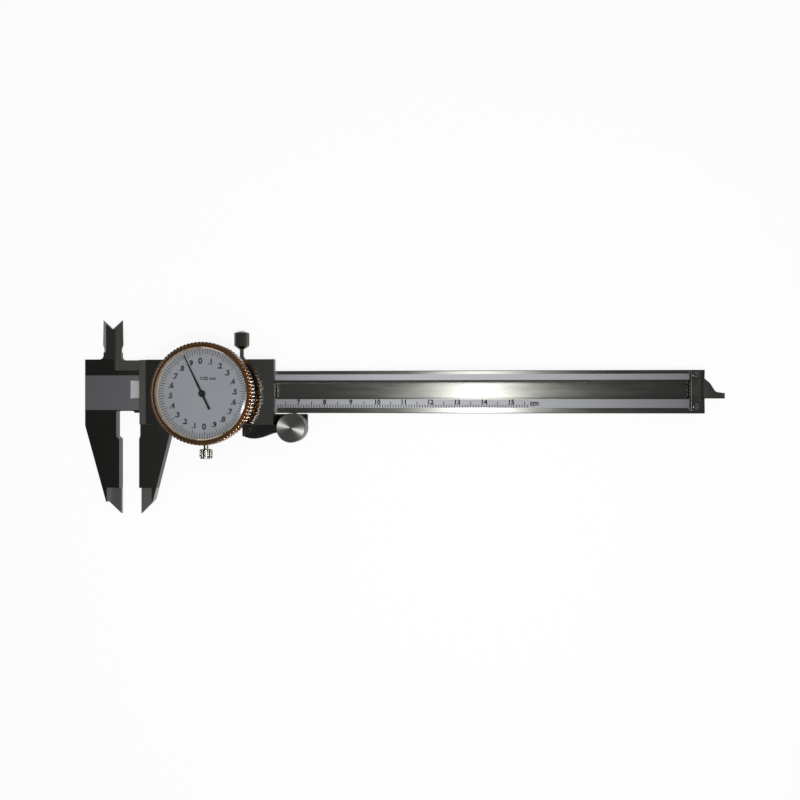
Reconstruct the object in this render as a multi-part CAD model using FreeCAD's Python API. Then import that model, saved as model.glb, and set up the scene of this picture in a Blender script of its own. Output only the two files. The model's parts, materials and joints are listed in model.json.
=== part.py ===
import FreeCAD, Part
import math
import os

# A dial caliper for 150 mm, lying on its back with the slider a little open.
# X runs along the beam from the face of the fixed outside jaw, Y runs across it from the beam's
# centre line towards the inside jaws, and Z runs out of the beam's front face towards the dial.
# Pieces that travel with the slider are drawn with the moving jaw's face at X = 0.
# Driving dimensions are in millimetres and degrees.

# Pose of the drawing
opening_at_rest = 7.875
full_opening = 155.0
dial_zero_turn = 3.4

# Clearances of fits
shaft_gap = 0.03
thread_gap = 0.02
seat_gap = 0.02
running_gap = 0.05
end_gap = 0.1
drill_spare = 0.2

# How far a cutting tool runs past the face that it cuts
overshoot = 1.0

# Beam
beam_reach = 220.2
jaw_block_length = 13.6
beam_height = 16.0
beam_thickness = 3.2
beam_edge_chamfer = 0.25
groove_low = -2.45
groove_high = 4.45
groove_depth = 1.1
groove_start = 4.5
groove_cutter_radius = 24.0
upper_rail_edge = 6.63
lower_rail_edge = -5.5
rail_start = 9.5
rail_depth = 0.1
neck_depth = 0.74
neck_end = 6.0
neck_radius = 0.7
block_top = 12.65

# Outside jaws
jaw_tip_y = -47.1
jaw_relief_end = -17.0
jaw_relief_chamfer = 1.1
jaw_grind_y = -36.9
jaw_tip_thickness = 1.1
jaw_grind_width = 5.1
jaw_grind_radius = 0.5
fixed_heel_y = -12.9
fixed_toe_x = 5.25
fixed_toe_y = -42.3
fixed_relief = 1.2
moving_heel_x = 13.1
moving_toe_x = 5.55
moving_toe_y = -41.6
moving_relief = 0.45

# Inside jaws
inside_edge_x = -7.05
inside_edge_taper = 0.25
inside_blade_width = 5.1
inside_tip_y = 27.9
inside_tip_angle = 40.5
inside_neck_top = 18.3
inside_neck_low = 16.8
inside_bevel_low = 15.4
inside_notch = 0.8
inside_root_radius = 1.6
inside_bevel_width = 1.8
inside_edge_land = 0.25
inside_gap = 0.1

# Rack and gears
rack_pitch = 0.8
rack_left = 16.0
rack_teeth = 204
rack_thickness = 0.9
rack_pitch_line = 3.35
pinion_teeth = 15
wheel_teeth = 72
centre_teeth = 12
wheel_module = 0.2
pressure_angle = math.radians(20)
rack_backlash = 0.06
wheel_backlash = 0.05
wheel_thickness = 0.42
wheel_lift = 0.3
wheel_window_inner = 2.6
wheel_window_outer = 5.4
wheel_window_angle = 84.0
wheel_windows = 3
wheel_hub_radius = 1.5
takeup_hub_height = 0.2
takeup_spring_width = 0.35
takeup_spring_spare = 0.5
arbor_radius = 0.5
centre_pinion_overlap = 0.25

# Slider
slider_length = 53.3
slider_wall = 4.35
slab_start = 3.9
slab_front = 3.0
ledge_start = 0.7
ledge_front = 1.3
slab_chamfer = 0.2
wall_setback = 0.85
wall_web = 0.9
wheel_pocket_gap = 0.5

# Gib and its screws
gib_thickness = 0.9
gib_width = 2.6
gib_inset = 2.0
gib_screw_inset = 8.0
gib_screw_radius = 0.9
gib_screw_point = 0.4
gib_screw_sink = 0.25
gib_screw_slot = 0.5

# Back cover
cover_thickness = 1.6
cover_inset = 0.6
cover_end_inset = 1.3
cover_corner = 1.5
cover_notch_corner = 0.5
cover_screw_inset = 4.0
cover_screw_edge = 1.95
cover_head_radius = 1.6
cover_shank_radius = 0.8
cover_screw_grip = 2.4

# Depth rod
rod_width = 7.5
rod_low = -2.5
rod_thickness = 1.3
rod_grip = 12.3
rod_channel_spare = 3.0
rod_foot_width = 2.0
rod_foot_length = 3.3
rod_foot_rise = 0.45
rod_foot_radius = 1.8
rod_neck_length = 5.3
rod_neck_rise = 3.7
rod_neck_radius = 2.5
rod_cut_length = 7.4
rod_cut_radius = 1.2
rod_screw_inset = 3.5
rod_screw_pitch = 5.0
rod_screw_spare = 0.3

# Dial case
dial_x = 28.0
dial_y = -0.7
case_radius = 17.6
case_wall = 0.75
case_floor = 0.8
case_height = 3.3
case_ledge = 4.25
case_lug_width = 5.4
case_lug_reach = 1.3
case_lug_radius = 1.2
case_screw_angles = (-38, 38, 218)
case_screw_gap = 2.05
spring_thickness = 0.35
spring_width = 0.6
spring_bite = 0.25
spring_split = 6.0

# Bezel
bezel_overhang = 1.6
bezel_ridge_count = 84
bezel_ridge_height = 0.35
bezel_knurl_low = 6.6
bezel_knurl_high = 9.4
bezel_knurl_bevel = 0.3
bezel_shoulder_inset = 0.5
bezel_shoulder_height = 0.4
bezel_slope_inset = 0.9
bezel_slope_drop = 0.25
bezel_round_inset = 1.25
bezel_top = 11.3
bezel_lip = 0.35
bezel_lip_break = 0.15
bezel_skirt_low = 4.5
bezel_skirt_wall = 0.9
bezel_gap = 0.12

# Dial face, crystal and pointer
dial_back = 8.6
dial_thickness = 0.4
dial_seat_wall = 1.6
crystal_back = 10.2
crystal_edge = 0.8
crystal_round = 2.6
crystal_round_angle = math.radians(38)
crystal_dome = 0.1
crystal_ring_width = 0.85
pointer_tip_gap = 1.45
pointer_point = 0.3
pointer_tip_half = 0.16
pointer_root_half = 0.42
pointer_tail = 6.5
tail_length = 1.8
tail_neck_half = 0.34
tail_pad_half = 0.5
tail_break = 0.3
pointer_lift = 0.3
pointer_thickness = 0.15
pointer_hub_radius = 1.25
pointer_hub_height = 0.7
pointer_hub_sink = 0.15
hub_edge_radius = 0.3
hub_edge_height = 0.25
arbor_stub = 0.6

# Movement plate
movement_gap = 0.3
movement_thickness = 1.1
movement_screw_angles = (-60, 60, 235)
movement_screw_inset = 1.7
movement_window_angles = (100, 270)
movement_window_circle = 7.5
movement_window_radius = 2.6
bush_radius = 1.2

# Small screws of the case, movement and depth rod
small_head_radius = 1.35
small_head_height = 0.6
small_shank_radius = 0.6
small_screw_length = 1.9
countersink_land = 0.15
slot_width = 0.35
slot_depth = 0.3

# Lock screw
lock_inset = 13.5
lock_neck_radius = 0.8
lock_collar_width = 0.2
lock_boss_radius = 1.55
lock_boss_height = 1.1
lock_head_start = 16.35
lock_cone = 1.25
lock_head_top = 23.35
lock_head_radius = 2.85
lock_crown_radius = 1.0
lock_crown_height = 0.75
lock_flutes = 18
lock_flute_radius = 0.32

# Bezel clamp screw
clamp_height = 4.9
clamp_neck_radius = 0.9
clamp_point = 0.2
clamp_neck_length = 1.55
clamp_head_length = 3.65
clamp_head_radius = 2.4
clamp_edge = 0.35
clamp_flutes = 14
clamp_flute_radius = 0.35

# Thumb roller
roller_reach = 6.65
roller_radius = 5.5
roller_front = 4.0
roller_back = -3.4
roller_rim = 0.7
roller_edge = 0.25
roller_notches = 60
roller_notch_depth = 0.22
roller_dimple = 0.5
axle_radius = 1.5
axle_head_radius = 2.4
axle_head_height = 0.6
axle_reach = 4.9

# Bracket of the roller, with the thumb rest
bracket_grip = 12.4
bracket_reach = 4.95
bracket_foot_height = 3.95
bracket_front = 1.6
bracket_cover_gap = 0.3
bracket_corner = 0.4
bracket_screw_insets = (3.1, 9.1)
bracket_screw_edge = 2.05
arm_start_drop = 2.2
arm_rest_drop = 2.6
arm_bend_radius = 3.0
arm_half_width = 4.6
arm_shoulder_x = 4.9
arm_shoulder_radius = 3.5
arm_roller_gap = 0.15
rest_length = 13.2
rest_depth = 5.4
rest_sink = 0.5
rest_arc_radius = 9.5
rest_arc_start = 4.4
rest_bend = 2.6
rest_hollow_depth = 3.1
rest_hollow_length = 0.9
rest_hollow_radius = 5.0
serration_pitch = 0.9
serration_radius = 0.28
serration_lead = 3.6
serrations = 8

# End stop
stop_inset = 5.5
stop_width = 3.6
stop_low = -6.95
stop_high = 7.5
stop_thickness = 1.0
stop_radius = 0.5
stop_foot_break = 0.2
stop_right_radius = 0.3
stop_screw_ys = (-5.3, 6.2)
stop_head_radius = 0.85
stop_head_height = 0.45
stop_screw_length = 3.1

# Sizes that follow from the driving dimensions
beam_half = beam_height / 2
slider_half_height = beam_half + slider_wall
lock_z = -beam_thickness / 2
pinion_module = rack_pitch / math.pi
pinion_pitch_radius = pinion_teeth * pinion_module / 2
wheel_pitch_radius = wheel_teeth * wheel_module / 2
centre_pitch_radius = centre_teeth * wheel_module / 2
centre_distance = wheel_pitch_radius + centre_pitch_radius
stop_left = beam_reach - stop_inset
wall_end = slider_length - wall_setback
cover_end = slider_length - cover_end_inset
lock_x = slider_length - lock_inset
rod_start = slider_length - rod_grip
rod_screw_xs = (slider_length - rod_screw_inset - rod_screw_pitch, slider_length - rod_screw_inset)
gib_screw_xs = (gib_inset + gib_screw_inset, wall_end - gib_screw_inset)
bracket_start = slider_length - bracket_grip
bracket_top = bracket_foot_height - slider_half_height
bracket_screw_y = bracket_screw_edge - slider_half_height
bracket_screw_xs = tuple(bracket_start + inset for inset in bracket_screw_insets)
roller_x = slider_length + roller_reach
bracket_end = roller_x + bracket_reach
cover_screw_y = slider_half_height - cover_screw_edge
cover_screws = (
    (cover_screw_inset, cover_screw_y), (cover_end - cover_screw_inset, cover_screw_y),
    (cover_screw_inset, -cover_screw_y), (bracket_start - cover_screw_inset, -cover_screw_y),
)
bezel_radius = case_radius + bezel_overhang
dial_seat_radius = bezel_radius - dial_seat_wall
bezel_opening = dial_seat_radius - bezel_lip
pointer_tip = bezel_opening - pointer_tip_gap
clamp_head_start = bezel_radius + clamp_neck_length
pinion_y = rack_pitch_line - pinion_pitch_radius
pinion_x = dial_x - math.sqrt(centre_distance ** 2 - (pinion_y - dial_y) ** 2)
upper_wall_low = beam_half + gib_thickness + 2 * running_gap
lower_wall_high = -beam_half - running_gap
arm_low = beam_half + running_gap
slider_back = -beam_thickness - running_gap
cover_back = slider_back - cover_thickness
plate_back = running_gap
web_front = plate_back + wall_web
pinion_back = -groove_depth + end_gap
wheel_back = web_front + wheel_lift
takeup_back = wheel_back + wheel_thickness + end_gap
takeup_front = takeup_back + wheel_thickness
centre_pinion_back = web_front + running_gap
centre_pinion_front = takeup_front + centre_pinion_overlap
half_back = -beam_thickness / 2 - inside_gap / 2
half_front = -beam_thickness / 2 + inside_gap / 2
rod_front = slider_back + rod_thickness
rod_middle = rod_low + rod_width / 2
rod_channel_front = rod_front + 2 * running_gap
movement_front = slab_front + movement_thickness
case_front = slab_front + case_height
case_inner = case_radius - case_wall
case_opening = case_inner - case_ledge
case_screw_circle = case_inner - case_screw_gap
movement_radius = case_opening - movement_gap
movement_screw_circle = movement_radius - movement_screw_inset
skirt_radius = case_inner - bezel_gap
skirt_inner = skirt_radius - bezel_skirt_wall
spring_back = clamp_height + 2 * running_gap
spring_front = spring_back + spring_thickness
dial_front = dial_back + dial_thickness
crystal_front = crystal_back + crystal_edge
pointer_back = dial_front + pointer_lift
pointer_front = pointer_back + pointer_thickness
dial_turns_at_rest = opening_at_rest / (2 * math.pi * pinion_pitch_radius) * wheel_teeth / centre_teeth
pointer_turn = dial_zero_turn - 360 * dial_turns_at_rest
roller_y = -beam_half - running_gap - roller_radius
arm_front = roller_back - arm_roller_gap
stop_screw_x = stop_left + stop_width / 2


# Shapes that the pieces are made from
def point(x, y, z=0.0):
    return FreeCAD.Vector(x, y, z)


def polar(radius, angle, x=0.0, y=0.0):
    """The (x, y) place at a radius and an angle in radians round a centre."""
    return (x + radius * math.cos(angle), y + radius * math.sin(angle))


def round_the_dial(circle, angles):
    """Places round the dial's axis at angles in degrees."""
    return [polar(circle, math.radians(angle), dial_x, dial_y) for angle in angles]


def block(x_low, x_high, y_low, y_high, z_low, z_high):
    return Part.makeBox(x_high - x_low, y_high - y_low, z_high - z_low, point(x_low, y_low, z_low))


def disc(x, y, radius, z_low, z_high):
    return Part.makeCylinder(radius, z_high - z_low, point(x, y, z_low))


def ring(x, y, outer, inner, z_low, z_high):
    return disc(x, y, outer, z_low, z_high).cut(disc(x, y, inner, z_low, z_high))


def rounded_wire(corners):
    """A closed outline through (x, y) or (x, y, radius) corners, with an arc where there is a radius."""
    places = [point(corner[0], corner[1]) for corner in corners]
    radii = [corner[2] if len(corner) > 2 else 0 for corner in corners]
    starts = []
    ends = []
    arcs = {}
    for i, here in enumerate(places):
        back = (places[i - 1] - here).normalize()
        ahead = (places[(i + 1) % len(places)] - here).normalize()
        if radii[i] == 0:
            starts.append(here)
            ends.append(here)
            continue
        half = back.getAngle(ahead) / 2
        reach = radii[i] / math.tan(half)
        middle = (back + ahead).normalize()
        centre = here + middle * (radii[i] / math.sin(half))
        starts.append(here + back * reach)
        ends.append(here + ahead * reach)
        arcs[i] = Part.Arc(starts[i], centre - middle * radii[i], ends[i]).toShape()
    edges = []
    for i in range(len(places)):
        if i in arcs:
            edges.append(arcs[i])
        following = (i + 1) % len(places)
        if ends[i].distanceToPoint(starts[following]) > 1e-6:
            edges.append(Part.makeLine(ends[i], starts[following]))
    return Part.Wire(edges)


def prism(corners, low, high, along="z"):
    """A solid with straight sides. Its corners are (x, y) along z, (y, z) along x and (z, x) along y."""
    solid = Part.Face(rounded_wire(corners)).extrude(point(0, 0, high - low))
    solid.translate(point(0, 0, low))
    turn = {"z": 0, "x": 120, "y": 240}[along]
    solid.rotate(point(0, 0, 0), point(1, 1, 1), turn)
    return solid


def stand(solid, place, towards):
    """Stands a solid that was drawn up the Z axis on a place, pointing along a direction."""
    turn = FreeCAD.Rotation(point(0, 0, 1), point(*towards))
    solid.Placement = FreeCAD.Placement(point(*place), turn)
    return solid


def turned(profile, place=(0, 0, 0), towards=(0, 0, 1)):
    """A solid turned from (radius, height) corners, standing on a place and pointing along a direction."""
    corners = [point(radius, 0, height) for radius, height in profile]
    face = Part.Face(Part.makePolygon(corners + corners[:1]))
    return stand(face.revolve(point(0, 0, 0), point(0, 0, 1), 360), place, towards)


def bore(radius, length, place, towards):
    """A hole's tool, which reaches as far to each side of its place."""
    return turned([(0, -length), (radius, -length), (radius, length), (0, length)], place, towards)


def join(first, *others):
    return first.fuse(list(others)).removeSplitter()


def cut_away(body, tools):
    return body.cut(list(tools)).removeSplitter()


def group(solids):
    return Part.makeCompound(list(solids))


def copies_at(solid, places, z):
    """One group of copies of a solid at (x, y) places."""
    copies = []
    for x, y in places:
        copy = solid.copy()
        copy.translate(point(x, y, z))
        copies.append(copy)
    return group(copies)


# Screws
def countersunk_screw(head_radius, shank_radius, length, gap=0.0):
    """A flat-headed screw below z = 0. With a gap it is the hole that takes the screw, and has no slot."""
    head_end = head_radius - shank_radius + countersink_land
    screw = turned([
        (0, 0), (head_radius + gap, 0), (head_radius + gap, -countersink_land),
        (shank_radius + gap, -head_end), (shank_radius + gap, -length - gap), (0, -length - gap),
    ])
    if gap:
        return screw
    half_slot = slot_width / 2
    return screw.cut(block(-head_radius, head_radius, -half_slot, half_slot, -slot_depth, slot_depth))


def cheese_screw(head_radius, head_height, shank_radius, length):
    """A round-headed screw with its head on z = 0 and its shank below."""
    edge = head_height / 4
    screw = turned([
        (0, -length), (shank_radius, -length), (shank_radius, 0), (head_radius, 0),
        (head_radius, head_height - edge), (head_radius - edge, head_height), (0, head_height),
    ])
    half_slot = slot_width / 2
    slot_floor = head_height - slot_depth
    return screw.cut(block(-head_radius, head_radius, -half_slot, half_slot, slot_floor, head_height))


def facing_back(screw, places):
    """Copies of a screw turned over, with their heads flush in the cover's back."""
    turned_over = screw.copy()
    turned_over.rotate(point(0, 0, 0), point(1, 0, 0), 180)
    return copies_at(turned_over, places, cover_back)


def flutes(radius, low, high, count, flute_radius):
    """The upright grooves round a thumb screw's head, as tools to cut away from it."""
    tools = []
    for number in range(count):
        x, y = polar(radius + flute_radius / 3, 2 * math.pi * number / count)
        tools.append(disc(x, y, flute_radius, low, high))
    return tools


def ridged_wire(radius, height, ridges, x, y):
    """A round outline of rounded ridges that meet in sharp valleys."""
    step = 2 * math.pi / ridges
    arcs = []
    for number in range(ridges):
        places = [polar(radius - height, number * step, x, y), polar(radius, (number + 0.5) * step, x, y),
                  polar(radius - height, (number + 1) * step, x, y)]
        arcs.append(Part.Arc(*[point(*place) for place in places]).toShape())
    return Part.Wire(arcs)


def notched_corners(radius, depth, notches, x, y):
    """A round outline with straight V notches, as (x, y) corners. Nearly half of it stays round."""
    step = 2 * math.pi / notches
    half_land = 0.22 * step
    corners = []
    for number in range(notches):
        corners.append(polar(radius, number * step - half_land, x, y))
        corners.append(polar(radius, number * step + half_land, x, y))
        corners.append(polar(radius - depth, (number + 0.5) * step, x, y))
    return corners


# Teeth
def involute(angle):
    return math.tan(angle) - angle


def gear_corners(teeth, module, addendum, dedendum, backlash, turn, x, y, flank_steps):
    """A spur gear's outline as (x, y) corners, with one tooth centred on the angle turn."""
    pitch_radius = teeth * module / 2
    base_radius = pitch_radius * math.cos(pressure_angle)
    tip_radius = pitch_radius + addendum
    root_radius = pitch_radius - dedendum
    start_radius = max(base_radius, root_radius)
    half_tooth = (math.pi * module / 2 - backlash) / (2 * pitch_radius)
    flank = []
    for step in range(flank_steps + 1):
        radius = start_radius + (tip_radius - start_radius) * step / flank_steps
        half = half_tooth + involute(pressure_angle) - involute(math.acos(base_radius / radius))
        flank.append((radius, half))
    if root_radius < base_radius:
        flank.insert(0, (root_radius, flank[0][1]))
    corners = []
    for tooth in range(teeth):
        centre = turn + 2 * math.pi * tooth / teeth
        corners += [polar(radius, centre - half, x, y) for radius, half in flank]
        corners += [polar(radius, centre + half, x, y) for radius, half in reversed(flank)]
    return corners


def rack_corners():
    """The rack's outline as (x, y) corners: its back on the groove's upper wall, its teeth towards -Y."""
    addendum = 0.8 * pinion_module
    dedendum = 1.15 * pinion_module
    half_tooth = (rack_pitch - 2 * rack_backlash) / 4
    tip_half = half_tooth - addendum * math.tan(pressure_angle)
    root_half = half_tooth + dedendum * math.tan(pressure_angle)
    tip_y = rack_pitch_line - addendum
    root_y = rack_pitch_line + dedendum
    rack_right = rack_left + rack_teeth * rack_pitch
    corners = [(rack_left, root_y)]
    for tooth in range(rack_teeth):
        middle = rack_left + (tooth + 0.5) * rack_pitch
        corners.append((middle - root_half, root_y))
        corners.append((middle - tip_half, tip_y))
        corners.append((middle + tip_half, tip_y))
        corners.append((middle + root_half, root_y))
    return corners + [(rack_right, root_y), (rack_right, groove_high), (rack_left, groove_high)]


def pinion_turn():
    """The angle of a pinion tooth that stands in the nearest space of the rack, in radians."""
    travel = (opening_at_rest + pinion_x - rack_left) % rack_pitch
    return math.pi / 2 + travel / pinion_pitch_radius


# The beam with the fixed jaws
def outside_jaw(side, heel_x, heel_y, toe_x, toe_y, relief, top_y):
    """An outside jaw whose measuring face is the plane X = 0, on the side -1 or +1 of it."""
    jaw = prism([
        (side * relief, top_y), (side * relief, jaw_relief_end), (0, jaw_relief_end - jaw_relief_chamfer),
        (0, jaw_tip_y), (side * toe_x, toe_y), (side * heel_x, heel_y), (side * heel_x, top_y),
    ], -beam_thickness, 0)
    grind_z = -beam_thickness + jaw_tip_thickness
    beyond_tip = jaw_tip_y - overshoot
    grind = prism([
        (jaw_grind_y, overshoot), (jaw_grind_y, grind_z, jaw_grind_radius),
        (beyond_tip, grind_z), (beyond_tip, overshoot),
    ], min(-side * overshoot, side * jaw_grind_width), max(-side * overshoot, side * jaw_grind_width), "x")
    return jaw.cut(grind)


def inside_blade(side, z_low, z_high, bevel_side, root_y):
    """An inside jaw's blade. Its measuring edge faces the side -1 or +1, its bevel the side -1 or +1 of Z."""
    outer_x = inside_edge_x - side * inside_blade_width
    outer_y = inside_tip_y - inside_blade_width * math.tan(math.radians(inside_tip_angle))
    tip_x = inside_edge_x - side * inside_edge_taper
    neck_x = inside_edge_x - side * inside_notch
    flare_x = neck_x + side * 2 * inside_root_radius
    outline = [
        (tip_x, inside_tip_y), (outer_x, outer_y), (outer_x, arm_low),
        (flare_x, arm_low), (flare_x, root_y),
        (neck_x, root_y, inside_root_radius), (neck_x, inside_neck_low),
        (inside_edge_x, inside_neck_top),
    ]
    if side > 0:
        outline.reverse()
    blade = prism(outline, z_low, z_high)
    edge_z = z_low + inside_edge_land if bevel_side > 0 else z_high - inside_edge_land
    full_z = z_high if bevel_side > 0 else z_low
    beyond_z = full_z + bevel_side * overshoot
    bevel_x = inside_edge_x - side * inside_bevel_width
    beyond_x = bevel_x + (bevel_x - inside_edge_x) * overshoot / abs(full_z - edge_z)
    clear_x = inside_edge_x + side * overshoot
    bevel = prism([
        (edge_z, inside_edge_x), (full_z, bevel_x), (beyond_z, beyond_x), (beyond_z, clear_x),
        (edge_z, clear_x),
    ], inside_bevel_low, inside_tip_y + overshoot, "y")
    return blade.cut(bevel)


def groove_tool():
    """The front groove. Its left end runs out on the round of the cutter, and its right end is open."""
    ramp = math.sqrt(2 * groove_cutter_radius * groove_depth - groove_depth ** 2)
    half_swing = math.asin(ramp / groove_cutter_radius) / 2
    floor_start = groove_start + ramp
    middle_x = floor_start - groove_cutter_radius * math.sin(half_swing)
    middle_z = -groove_depth + groove_cutter_radius * (1 - math.cos(half_swing))
    right = beam_reach + overshoot
    floor_corner = point(floor_start, 0, -groove_depth)
    run_out = Part.Arc(point(groove_start, 0, 0), point(middle_x, 0, middle_z), floor_corner)
    rest = Part.makePolygon([
        floor_corner, point(right, 0, -groove_depth), point(right, 0, overshoot),
        point(groove_start, 0, overshoot), point(groove_start, 0, 0),
    ])
    side = Part.Face(Part.Wire([run_out.toShape()] + rest.Edges))
    tool = side.extrude(point(0, groove_high - groove_low, 0))
    tool.translate(point(0, groove_low, 0))
    return tool


def bar():
    """The plain bar of the beam, with broken edges."""
    edge = beam_edge_chamfer
    back = -beam_thickness
    return prism([
        (-beam_half + edge, 0), (-beam_half, -edge), (-beam_half, back + edge), (-beam_half + edge, back),
        (beam_half - edge, back), (beam_half, back + edge), (beam_half, -edge), (beam_half - edge, 0),
    ], -jaw_block_length, beam_reach, "x")


def main_beam():
    jaw = outside_jaw(-1, jaw_block_length, fixed_heel_y, fixed_toe_x, fixed_toe_y, fixed_relief,
                      -beam_half + overshoot)
    blade = inside_blade(-1, half_front, 0, 1, block_top)
    shoulder = block(-jaw_block_length, inside_edge_x + inside_blade_width, beam_half - overshoot,
                     block_top, half_front, 0)
    jaw_root = block(-jaw_block_length, -fixed_relief, -beam_half, beam_half, -beam_thickness, 0)
    body = join(bar(), jaw, blade, shoulder, jaw_root)
    neck_y = -beam_half + neck_depth
    neck = prism([
        (-fixed_relief, neck_y, neck_radius), (neck_end, neck_y, neck_radius),
        (neck_end, -beam_half - overshoot), (-fixed_relief, -beam_half - overshoot),
    ], -beam_thickness - overshoot, overshoot)
    right = beam_reach + overshoot
    upper_rail = block(rail_start, right, groove_high, upper_rail_edge, -rail_depth, overshoot)
    lower_rail = block(rail_start, right, lower_rail_edge, groove_low, -rail_depth, overshoot)
    channel = block(rod_start - rod_channel_spare, right, rod_low - running_gap,
                    rod_low + rod_width + running_gap, -beam_thickness - overshoot, rod_channel_front)
    tools = [neck, groove_tool(), upper_rail, lower_rail, channel]
    hole_floor = stop_thickness - stop_screw_length - end_gap
    for y in stop_screw_ys:
        tools.append(disc(stop_screw_x, y, small_shank_radius + thread_gap, hole_floor, overshoot))
    return cut_away(body, tools)


def rack():
    return prism(rack_corners(), -groove_depth, -groove_depth + rack_thickness)


def end_stop():
    right = stop_left + stop_width
    plate = prism([
        (0, stop_left), (0, right, stop_foot_break), (stop_thickness, right, stop_right_radius),
        (stop_thickness, stop_left, stop_radius),
    ], stop_low, stop_high, "y")
    hole = small_shank_radius + thread_gap
    above = stop_thickness + overshoot
    return cut_away(plate, [disc(stop_screw_x, y, hole, -overshoot, above) for y in stop_screw_ys])


def end_stop_screws():
    screw = cheese_screw(stop_head_radius, stop_head_height, small_shank_radius, stop_screw_length)
    return copies_at(screw, [(stop_screw_x, y) for y in stop_screw_ys], stop_thickness)


# The slider with the moving jaws
def slab():
    """The raised front of the slider, with a chamfer round its front edges."""
    body = block(slab_start, slider_length, -slider_half_height, slider_half_height, plate_back, slab_front)
    front = [edge for edge in body.Edges if min(v.Z for v in edge.Vertexes) > slab_front - 1e-6]
    return body.makeChamfer(slab_chamfer, front)


def moving_jaws():
    """The outside jaw below the slider, and the arm that carries the inside jaw behind the fixed one."""
    outside = outside_jaw(1, moving_heel_x, -slider_half_height, moving_toe_x, moving_toe_y,
                          moving_relief, lower_wall_high)
    root = block(moving_relief, moving_heel_x, -slider_half_height, lower_wall_high, slider_back, 0)
    arm = block(inside_edge_x - inside_blade_width, gib_inset - end_gap, arm_low, slider_half_height,
                -beam_thickness, half_back)
    inside = inside_blade(1, -beam_thickness, half_back, -1, slider_half_height)
    return [outside, root, arm, inside]


def slider_frame():
    ledge = block(ledge_start, slab_start + overshoot, -slider_half_height, slider_half_height,
                  plate_back, ledge_front)
    upper_wall = block(ledge_start, wall_end, upper_wall_low, slider_half_height, slider_back, plate_back)
    lower_wall = block(moving_relief, wall_end, -slider_half_height, lower_wall_high,
                       slider_back, plate_back)
    lock_boss = turned([
        (0, -overshoot), (lock_boss_radius, -overshoot), (lock_boss_radius, 0),
        (lock_neck_radius + lock_collar_width, lock_boss_height), (0, lock_boss_height),
    ], (lock_x, slider_half_height, lock_z), (0, 1, 0))
    body = join(slab(), ledge, upper_wall, lower_wall, lock_boss, *moving_jaws())
    above = slab_front + overshoot
    tools = [
        disc(pinion_x, pinion_y, wheel_pitch_radius + wheel_module + wheel_pocket_gap, web_front, above),
        disc(dial_x, dial_y, centre_pitch_radius + wheel_pocket_gap, web_front, above),
        disc(pinion_x, pinion_y, bush_radius, -overshoot, above),
        disc(dial_x, dial_y, bush_radius, -overshoot, above),
    ]
    small_holes = round_the_dial(case_screw_circle, case_screw_angles)
    small_holes += round_the_dial(movement_screw_circle, movement_screw_angles)
    for x, y in small_holes:
        tools.append(disc(x, y, small_shank_radius + thread_gap, web_front, above))
    wall = slider_half_height - upper_wall_low + overshoot
    for x in gib_screw_xs:
        tools.append(bore(gib_screw_radius + thread_gap, wall, (x, slider_half_height, lock_z), (0, 1, 0)))
    tools.append(bore(lock_neck_radius + shaft_gap, wall + lock_boss_height,
                      (lock_x, slider_half_height, lock_z), (0, 1, 0)))
    hole_floor = slider_back + cover_screw_grip + drill_spare
    for x, y in cover_screws + tuple((x, bracket_screw_y) for x in bracket_screw_xs):
        tools.append(disc(x, y, cover_shank_radius + thread_gap, slider_back - overshoot, hole_floor))
    return cut_away(body, tools)


def back_cover():
    left = moving_relief + cover_inset
    notch_x = bracket_start - bracket_cover_gap
    notch_y = bracket_top + bracket_cover_gap
    edge = slider_half_height - cover_inset
    plate = prism([
        (left, -edge, cover_corner), (notch_x, -edge, cover_notch_corner),
        (notch_x, notch_y, cover_notch_corner), (cover_end, notch_y, cover_notch_corner),
        (cover_end, edge, cover_corner), (left, edge, cover_corner),
    ], cover_back, slider_back)
    depth = cover_thickness + overshoot
    cover_hole = countersunk_screw(cover_head_radius, cover_shank_radius, depth, thread_gap)
    rod_hole = countersunk_screw(small_head_radius, small_shank_radius, depth, thread_gap)
    return cut_away(plate, [
        facing_back(cover_hole, cover_screws),
        facing_back(rod_hole, [(x, rod_middle) for x in rod_screw_xs]),
    ])


def back_cover_screws():
    screw = countersunk_screw(cover_head_radius, cover_shank_radius, cover_thickness + cover_screw_grip)
    return facing_back(screw, cover_screws)


def depth_rod():
    """A flat rod in the beam's back channel. Its narrow foot is flush with the beam when the jaws close."""
    tip = beam_reach
    high = rod_low + rod_width
    foot_y = rod_low + rod_foot_width
    rod = prism([
        (rod_start, rod_low), (tip, rod_low), (tip, foot_y),
        (tip - rod_foot_length, foot_y + rod_foot_rise, rod_foot_radius),
        (tip - rod_neck_length, foot_y + rod_neck_rise, rod_neck_radius),
        (tip - rod_cut_length, high, rod_cut_radius), (rod_start, high),
    ], slider_back, rod_front)
    hole = small_shank_radius + thread_gap
    tools = [disc(x, rod_middle, hole, slider_back - overshoot, rod_front + overshoot) for x in rod_screw_xs]
    return cut_away(rod, tools)


def depth_rod_screws():
    length = cover_thickness + rod_thickness - rod_screw_spare
    screw = countersunk_screw(small_head_radius, small_shank_radius, length)
    return facing_back(screw, [(x, rod_middle) for x in rod_screw_xs])


def gib():
    """The bearing strip between the beam's upper edge and the slider's upper wall."""
    low = beam_half + running_gap
    half = gib_width / 2
    return block(gib_inset, wall_end - gib_inset, low, low + gib_thickness, lock_z - half, lock_z + half)


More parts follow.
